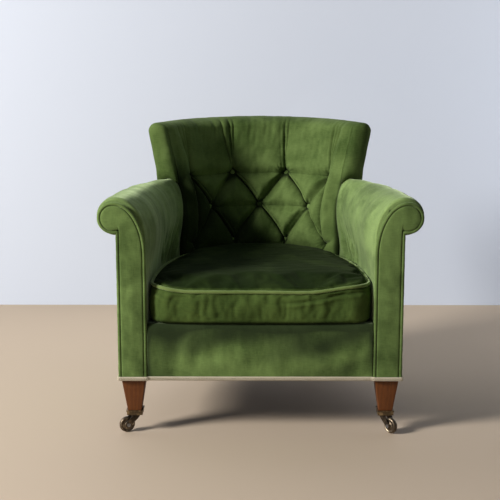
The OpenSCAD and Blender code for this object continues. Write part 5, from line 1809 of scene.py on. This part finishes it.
def inflate(piece: Piece, hold: Array, filling: Filling) -> None:
    """Swells a closed cloth by pressure and keeps the result.

    Args:
        piece: The piece, with an even mesh.
        hold: True for each point that stays.
        filling: How it is filled.
    """
    before = vertex_array(piece.data)
    group = piece.vertex_groups.new(name="held")
    group.add(np.nonzero(hold)[0].tolist(), 1.0, "REPLACE")
    cloth = piece.modifiers.new("cloth", "CLOTH")
    s = cloth.settings
    s.vertex_group_mass = "held"
    s.use_pressure = True
    s.uniform_pressure_force = filling.pressure
    s.effector_weights.gravity = 0.0
    s.shrink_min = filling.shrink
    s.quality, s.mass = filling.quality, filling.mass
    s.tension_stiffness = s.compression_stiffness = filling.stretch
    s.shear_stiffness, s.bending_stiffness = filling.shear, filling.bending
    cloth.collision_settings.use_collision = False
    cloth.point_cache.frame_end = filling.frames
    scene = bpy.context.scene
    for f in range(1, filling.frames + 1):
        scene.frame_set(f)
    bake(piece)
    scene.frame_set(1)
    after = vertex_array(piece.data)
    move = after - before
    far = np.linalg.norm(move, axis=1, keepdims=True)
    move *= np.minimum(1, filling.cap / np.maximum(far, 1e-9))
    move_points(piece.data, before + move)
    piece.vertex_groups.clear()


@dataclass
class Legs:
    """Square tapered legs with softened edges."""

    top: float = 0.060
    foot: float = 0.034
    frame_z: float = 0.145
    cup_z: float = 0.058
    end_z: float = 0.0512
    round_r: float = 0.0022

    def ring(self, width: Array) -> Array:
        """A square of a width with its corners rounded, as offsets from its middle."""
        a = np.linspace(0, math.pi / 2, 6)
        w = np.asarray(width)[:, None] / 2 - self.round_r
        parts = []
        for k, (sx, sy) in enumerate(((1, 1), (-1, 1), (-1, -1), (1, -1))):
            turn = a + k * math.pi / 2
            parts.append(np.stack([sx * w + self.round_r * np.cos(turn),
                                   sy * w + self.round_r * np.sin(turn)], -1))
        return np.concatenate(parts, 1)

    def build(self, wood: Material) -> None:
        """Makes the four legs where the frame has them, narrowing in a straight line to the cup."""
        for node in ("leg_front_l", "leg_front_r", "leg_rear_l", "leg_rear_r"):
            lo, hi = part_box(node)
            x = (lo.x + hi.x) / 2
            y_top = lo.y + self.top / 2
            y_foot = y_top if "front" in node else hi.y - self.foot / 2
            z = np.concatenate([[self.end_z], np.linspace(self.cup_z, self.frame_z - 0.0015, 26),
                                [self.frame_z]])
            t = np.clip((z - self.cup_z) / (self.frame_z - self.cup_z), 0, 1)
            width = mix(self.foot, self.top, t) - 0.0012 * (z > self.frame_z - 0.0005)
            ring = self.ring(width)
            centre = np.stack([np.full_like(z, x), mix(y_foot, y_top, t)], -1)[:, None]
            rings = np.concatenate([ring + centre,
                                    np.broadcast_to(z[:, None, None], ring.shape[:2] + (1,))], -1)
            dress(skin(node + "_turned", rings), wood, "chair", "mahogany", (node,))


@dataclass
class Castors:
    """Brass cups and wheels; the horns and axles keep their solids."""

    wheel_r: float = 0.020
    wheel_w: float = 0.015
    tread: float = 0.0045
    tread_edge: float = 0.0015
    # Each side of a wheel from its bore to its tread: radius, and distance in from the side
    face: tuple[tuple[float, float], ...] = (
        (0.00305, 0.0), (0.0068, 0.0), (0.0076, 0.0006), (0.0084, 0.0022), (0.0150, 0.0022))
    corners: tuple[str, ...] = ("fl", "fr", "rl", "rr")

    def wheel(self, corner: str, brass: Material) -> None:
        """A wheel: its rounded profile spun about its axle.

        Args:
            corner: Which castor.
            brass: Finish.
        """
        lo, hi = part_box(f"castor_wheel_{corner}")
        centre = np.array([(lo.x + hi.x) / 2, (lo.y + hi.y) / 2, self.wheel_r])
        joint = next(j for j in frame["joints"] if j["name"] == f"wheel_spin_{corner}")
        axle = unit_rows(np.array(joint["axis"], float))
        side, up = np.cross(axle, (0, 0, 1.0)), np.array([0, 0, 1.0])
        w, r = self.wheel_w / 2, self.wheel_r
        a = np.linspace(-math.pi / 2, math.pi / 2, 13)
        face = np.array(self.face)
        rr = np.concatenate([face[:, 0], r - self.tread + self.tread * np.cos(a), face[::-1, 0]])
        ww = np.concatenate([face[:, 1] - w, (w - self.tread_edge) * np.sin(a), w - face[::-1, 1]])
        turn = np.arange(72) * TAU / 72
        rings = centre + ww[None, :, None] * axle + rr[None, :, None] * (
            np.cos(turn)[:, None, None] * side + np.sin(turn)[:, None, None] * up)
        piece = skin(f"castor_wheel_{corner}_cast", rings, loop=True)
        dress(piece, brass, f"wheel_{corner}", "wheel_brass", (f"castor_wheel_{corner}",))

    def build(self, brass: Material, dark: Material, wheel: Material,
              steel: Material) -> None:
        """Makes wheels and dresses the other castor parts."""
        for corner in self.corners:
            self.wheel(corner, wheel)
            keep_node(f"castor_horn_{corner}", dark)
            keep_node(f"castor_axle_{corner}", steel)
        keep_node("castor_cups", brass)


def keep_node(name: str, material: Material) -> None:
    """Gives a frame node its finish."""
    node = frame["nodes"][name]
    node.data.materials.clear()
    node.data.materials.append(material)
    LOG.info("%s: kept", name)


@dataclass
class Hidden:
    """The frame's timber, the springing and the stuffing, inside the covers.

    The facing boards have the covers' velvet, because the gap behind the facings shows them from above.
    """

    nodes: dict[str, tuple[str, ...]] = field(default_factory=lambda: {
        "beech": (
            "front_seat_rail", "side_seat_rail_l", "side_seat_rail_r", "back_seat_rail",
            "corner_blocks", "arm_stump_l", "arm_stump_r", "arm_rail_l", "arm_rail_r",
            "wing_post_l", "wing_post_r", "back_post_l", "back_post_r", "top_back_rail",
            "arm_tacking_rail_l", "arm_tacking_rail_r", "back_tacking_rail",
        ),
        "velvet": ("facing_board_l", "facing_board_r"),
        "linen": ("seat_webbing",),
        "jute": ("spring_hessian",),
        "platform": ("seat_stuffing",),
        "black": ("dust_cover",),
        "steel": ("seat_springs",),
    })

    def build(self, finishes: dict[str, Material]) -> None:
        """Gives every hidden node its finish.

        Args:
            finishes: Finishes by the names that `nodes` uses.
        """
        for finish, names in self.nodes.items():
            for name in names:
                keep_node(name, finishes[finish])


@dataclass(frozen=True)
class Lamp:
    """A soft square lamp that faces a point."""

    name: str
    place: Point
    aim: Point
    size: float
    watts: float
    tone: Point

    def build(self) -> None:
        """Hangs the lamp."""
        data = bpy.data.lights.new(self.name, "AREA")
        data.size, data.energy, data.color = self.size, self.watts, self.tone
        lamp = bpy.data.objects.new(self.name, data)
        lamp.location = self.place
        way = np.array(self.aim, float) - np.array(self.place, float)
        tilt = math.acos(-way[2] / np.linalg.norm(way))
        lamp.rotation_euler = (tilt, 0, math.atan2(way[1], way[0]) - math.pi / 2)
        lamp.visible_camera = False
        bpy.context.scene.collection.objects.link(lamp)


LAMPS = (
    Lamp("window", (-4.30, -2.45, 2.55), (0, 0, 0.45), 1.20, 455, (1.0, 0.98, 0.94)),
    Lamp("rear", (-0.25, 0.98, 0.75), (0, 0, 0.45), 0.9, 1.9, (1.0, 0.98, 0.95)),
    Lamp("wall_wash", (2.1, 0.30, 0.9), (1.8, 1.1, 0.7), 1.2, 15, (0.95, 0.97, 1.0)),
    Lamp("fill", (1.0, -3.6, 0.8), (0, 0, 0.4), 2.2, 4, (0.9, 0.95, 1.0)),
)


@dataclass
class Studio:
    """Floor, backdrop, soft light and the camera."""

    lens: float = 76.15
    sensor: float = 36.0
    sight: float = 50
    away: float = 2.4978
    eye: float = 0.898
    shift_x: float = -0.013
    pitch: float = 9.844
    yaw: float = 0.273
    wall_d: float = 1.45
    wall_h: float = 4
    half_w: float = 6.0
    floor_tone: Colour = (0.485, 0.392, 0.300, 1)
    floor_rough: float = 0.7
    wall_tone: Colour = (0.545, 0.59, 0.685, 1)
    wall_rough: float = 0.9
    specular: float = 0.15
    ambient: float = 0.13
    ambient_tone: Colour = (0.82, 0.88, 1.0, 1)

    def camera(self) -> None:
        """Puts the camera where the photograph was taken from."""
        data = bpy.data.cameras.new("camera")
        data.lens, data.sensor_width, data.clip_end = self.lens, self.sensor, self.sight
        cam = bpy.data.objects.new("camera", data)
        cam.location = (self.shift_x, PLAN.level(-self.away), self.eye)
        cam.rotation_euler = (math.radians(90 - self.pitch), 0, math.radians(self.yaw))
        bpy.context.scene.collection.objects.link(cam)
        bpy.context.scene.camera = cam

    def sheet(self, name: str, corners: list[Point], tone: Colour, rough: float,
              one_sided: bool) -> None:
        """A plain flat sheet of floor or backdrop; a one-sided sheet is clear from behind."""
        piece = mesh_piece(name, np.array(corners, float), np.array([[0, 1, 2, 3]]))
        material, t, _, shader = new_material(name)
        t.feed(shader, {"Base Color": tone, "Roughness": rough, "Specular IOR Level": self.specular})
        if one_sided:
            behind = t.add("ShaderNodeNewGeometry").outputs["Backfacing"]
            t.feed(shader, {"Alpha": t.maths("SUBTRACT", 1.0, behind)})
        piece.data.materials.append(material)

    def build(self) -> None:
        """Makes the whole studio."""
        self.camera()
        far, back, high = self.half_w, PLAN.level(self.wall_d), self.wall_h
        self.sheet("floor", [(-far, -far, 0), (far, -far, 0), (far, back, 0), (-far, back, 0)],
                   self.floor_tone, self.floor_rough, one_sided=False)
        self.sheet("backdrop", [(-far, back, 0), (far, back, 0), (far, back, high), (-far, back, high)],
                   self.wall_tone, self.wall_rough, one_sided=True)
        world = bpy.data.worlds.new("studio")
        world.use_nodes = True
        sky = world.node_tree.nodes["Background"].inputs
        sky["Color"].default_value, sky["Strength"].default_value = self.ambient_tone, self.ambient
        bpy.context.scene.world = world
        for lamp in LAMPS:
            lamp.build()
        bpy.context.scene.view_settings.view_transform = "Standard"


def main() -> None:
    """Builds the chair in order and reports each piece."""
    logging.basicConfig(level=logging.INFO, format="%(message)s")
    Studio().build()
    # Copies of the velvet as painted light and shade: the back and the seat darker, as painted shade,
    # and the arms and the cushion's top piping lighter, as painted highlights; the plain velvet covers
    # the rest
    shaded_back_velvet = Velvet("velvet_back", (0.030, 0.054, 0.011, 1), (0.108, 0.160, 0.046, 1), sheen=0.06,
                         specular=0.10, deep=(0.005, 0.010, 0.002, 1)).material()
    velvet = Velvet().material()
    lit_arm_velvet = Velvet("velvet_arms", (0.045, 0.078, 0.018, 1), (0.200, 0.290, 0.095, 1),
                        sheen=0.50).material()
    shaded_seat_velvet = Velvet("velvet_seat", (0.010, 0.020, 0.004, 1), (0.060, 0.094, 0.022, 1), sheen=0.03,
                         specular=0.05).material()
    piping = Velvet("velvet_piping", (0.085, 0.125, 0.030, 1), (0.150, 0.205, 0.060, 1),
                    sheen=0.7).material()
    braid = Cloth("braid", (0.36, 0.31, 0.22, 1), (0.74, 0.68, 0.55, 1), threads=700.0).material()
    mahogany = Wood("mahogany", (0.096, 0.027, 0.0042, 1), (0.120, 0.036, 0.0056, 1), gloss=0.55,
                    coat=0.03).material()
    brass = Metal("aged_brass", (0.36, 0.26, 0.14, 1), (0.12, 0.085, 0.050, 1), gloss=0.40).material()
    dark = Metal("dark_brass", (0.16, 0.12, 0.08, 1), (0.05, 0.04, 0.03, 1), gloss=0.42).material()
    wheel = Metal("wheel_brass", (0.42, 0.35, 0.25, 1), (0.13, 0.10, 0.07, 1), gloss=0.36).material()
    steel = Metal("dull_steel", (0.40, 0.40, 0.41, 1), (0.20, 0.20, 0.21, 1), gloss=0.35).material()
    hidden = {
        "beech": Wood("beech", (0.38, 0.24, 0.13, 1), (0.56, 0.39, 0.23, 1), gloss=0.6,
                      coat=0.0).material(),
        "velvet": velvet,
        "linen": Cloth("linen", (0.45, 0.38, 0.26, 1), (0.68, 0.61, 0.46, 1), threads=500.0).material(),
        "jute": Cloth("jute", (0.24, 0.16, 0.08, 1), (0.46, 0.33, 0.18, 1), threads=260.0).material(),
        "platform": Cloth("platform_cloth", (0.010, 0.017, 0.005, 1), (0.026, 0.040, 0.013, 1),
                          threads=700.0).material(),
        "black": Cloth("black_lining", (0.006, 0.006, 0.006, 1), (0.030, 0.030, 0.030, 1),
                       threads=700.0).material(),
        "steel": steel,
    }
    back, arms = InsideBack(), Arms()
    back.build(shaded_back_velvet, arms.crest_at)
    arms.build(lit_arm_velvet)
    OuterCovers().build(velvet)
    Facings().build(velvet)
    FrontBorder().build(velvet)
    Buttons().build(velvet, back, arms)
    Gimp().build(braid)
    Cushion().build(shaded_seat_velvet, piping)
    Legs().build(mahogany)
    Castors().build(brass, dark, wheel, steel)
    Hidden().build(hidden)


if __name__ == "__main__":
    main()
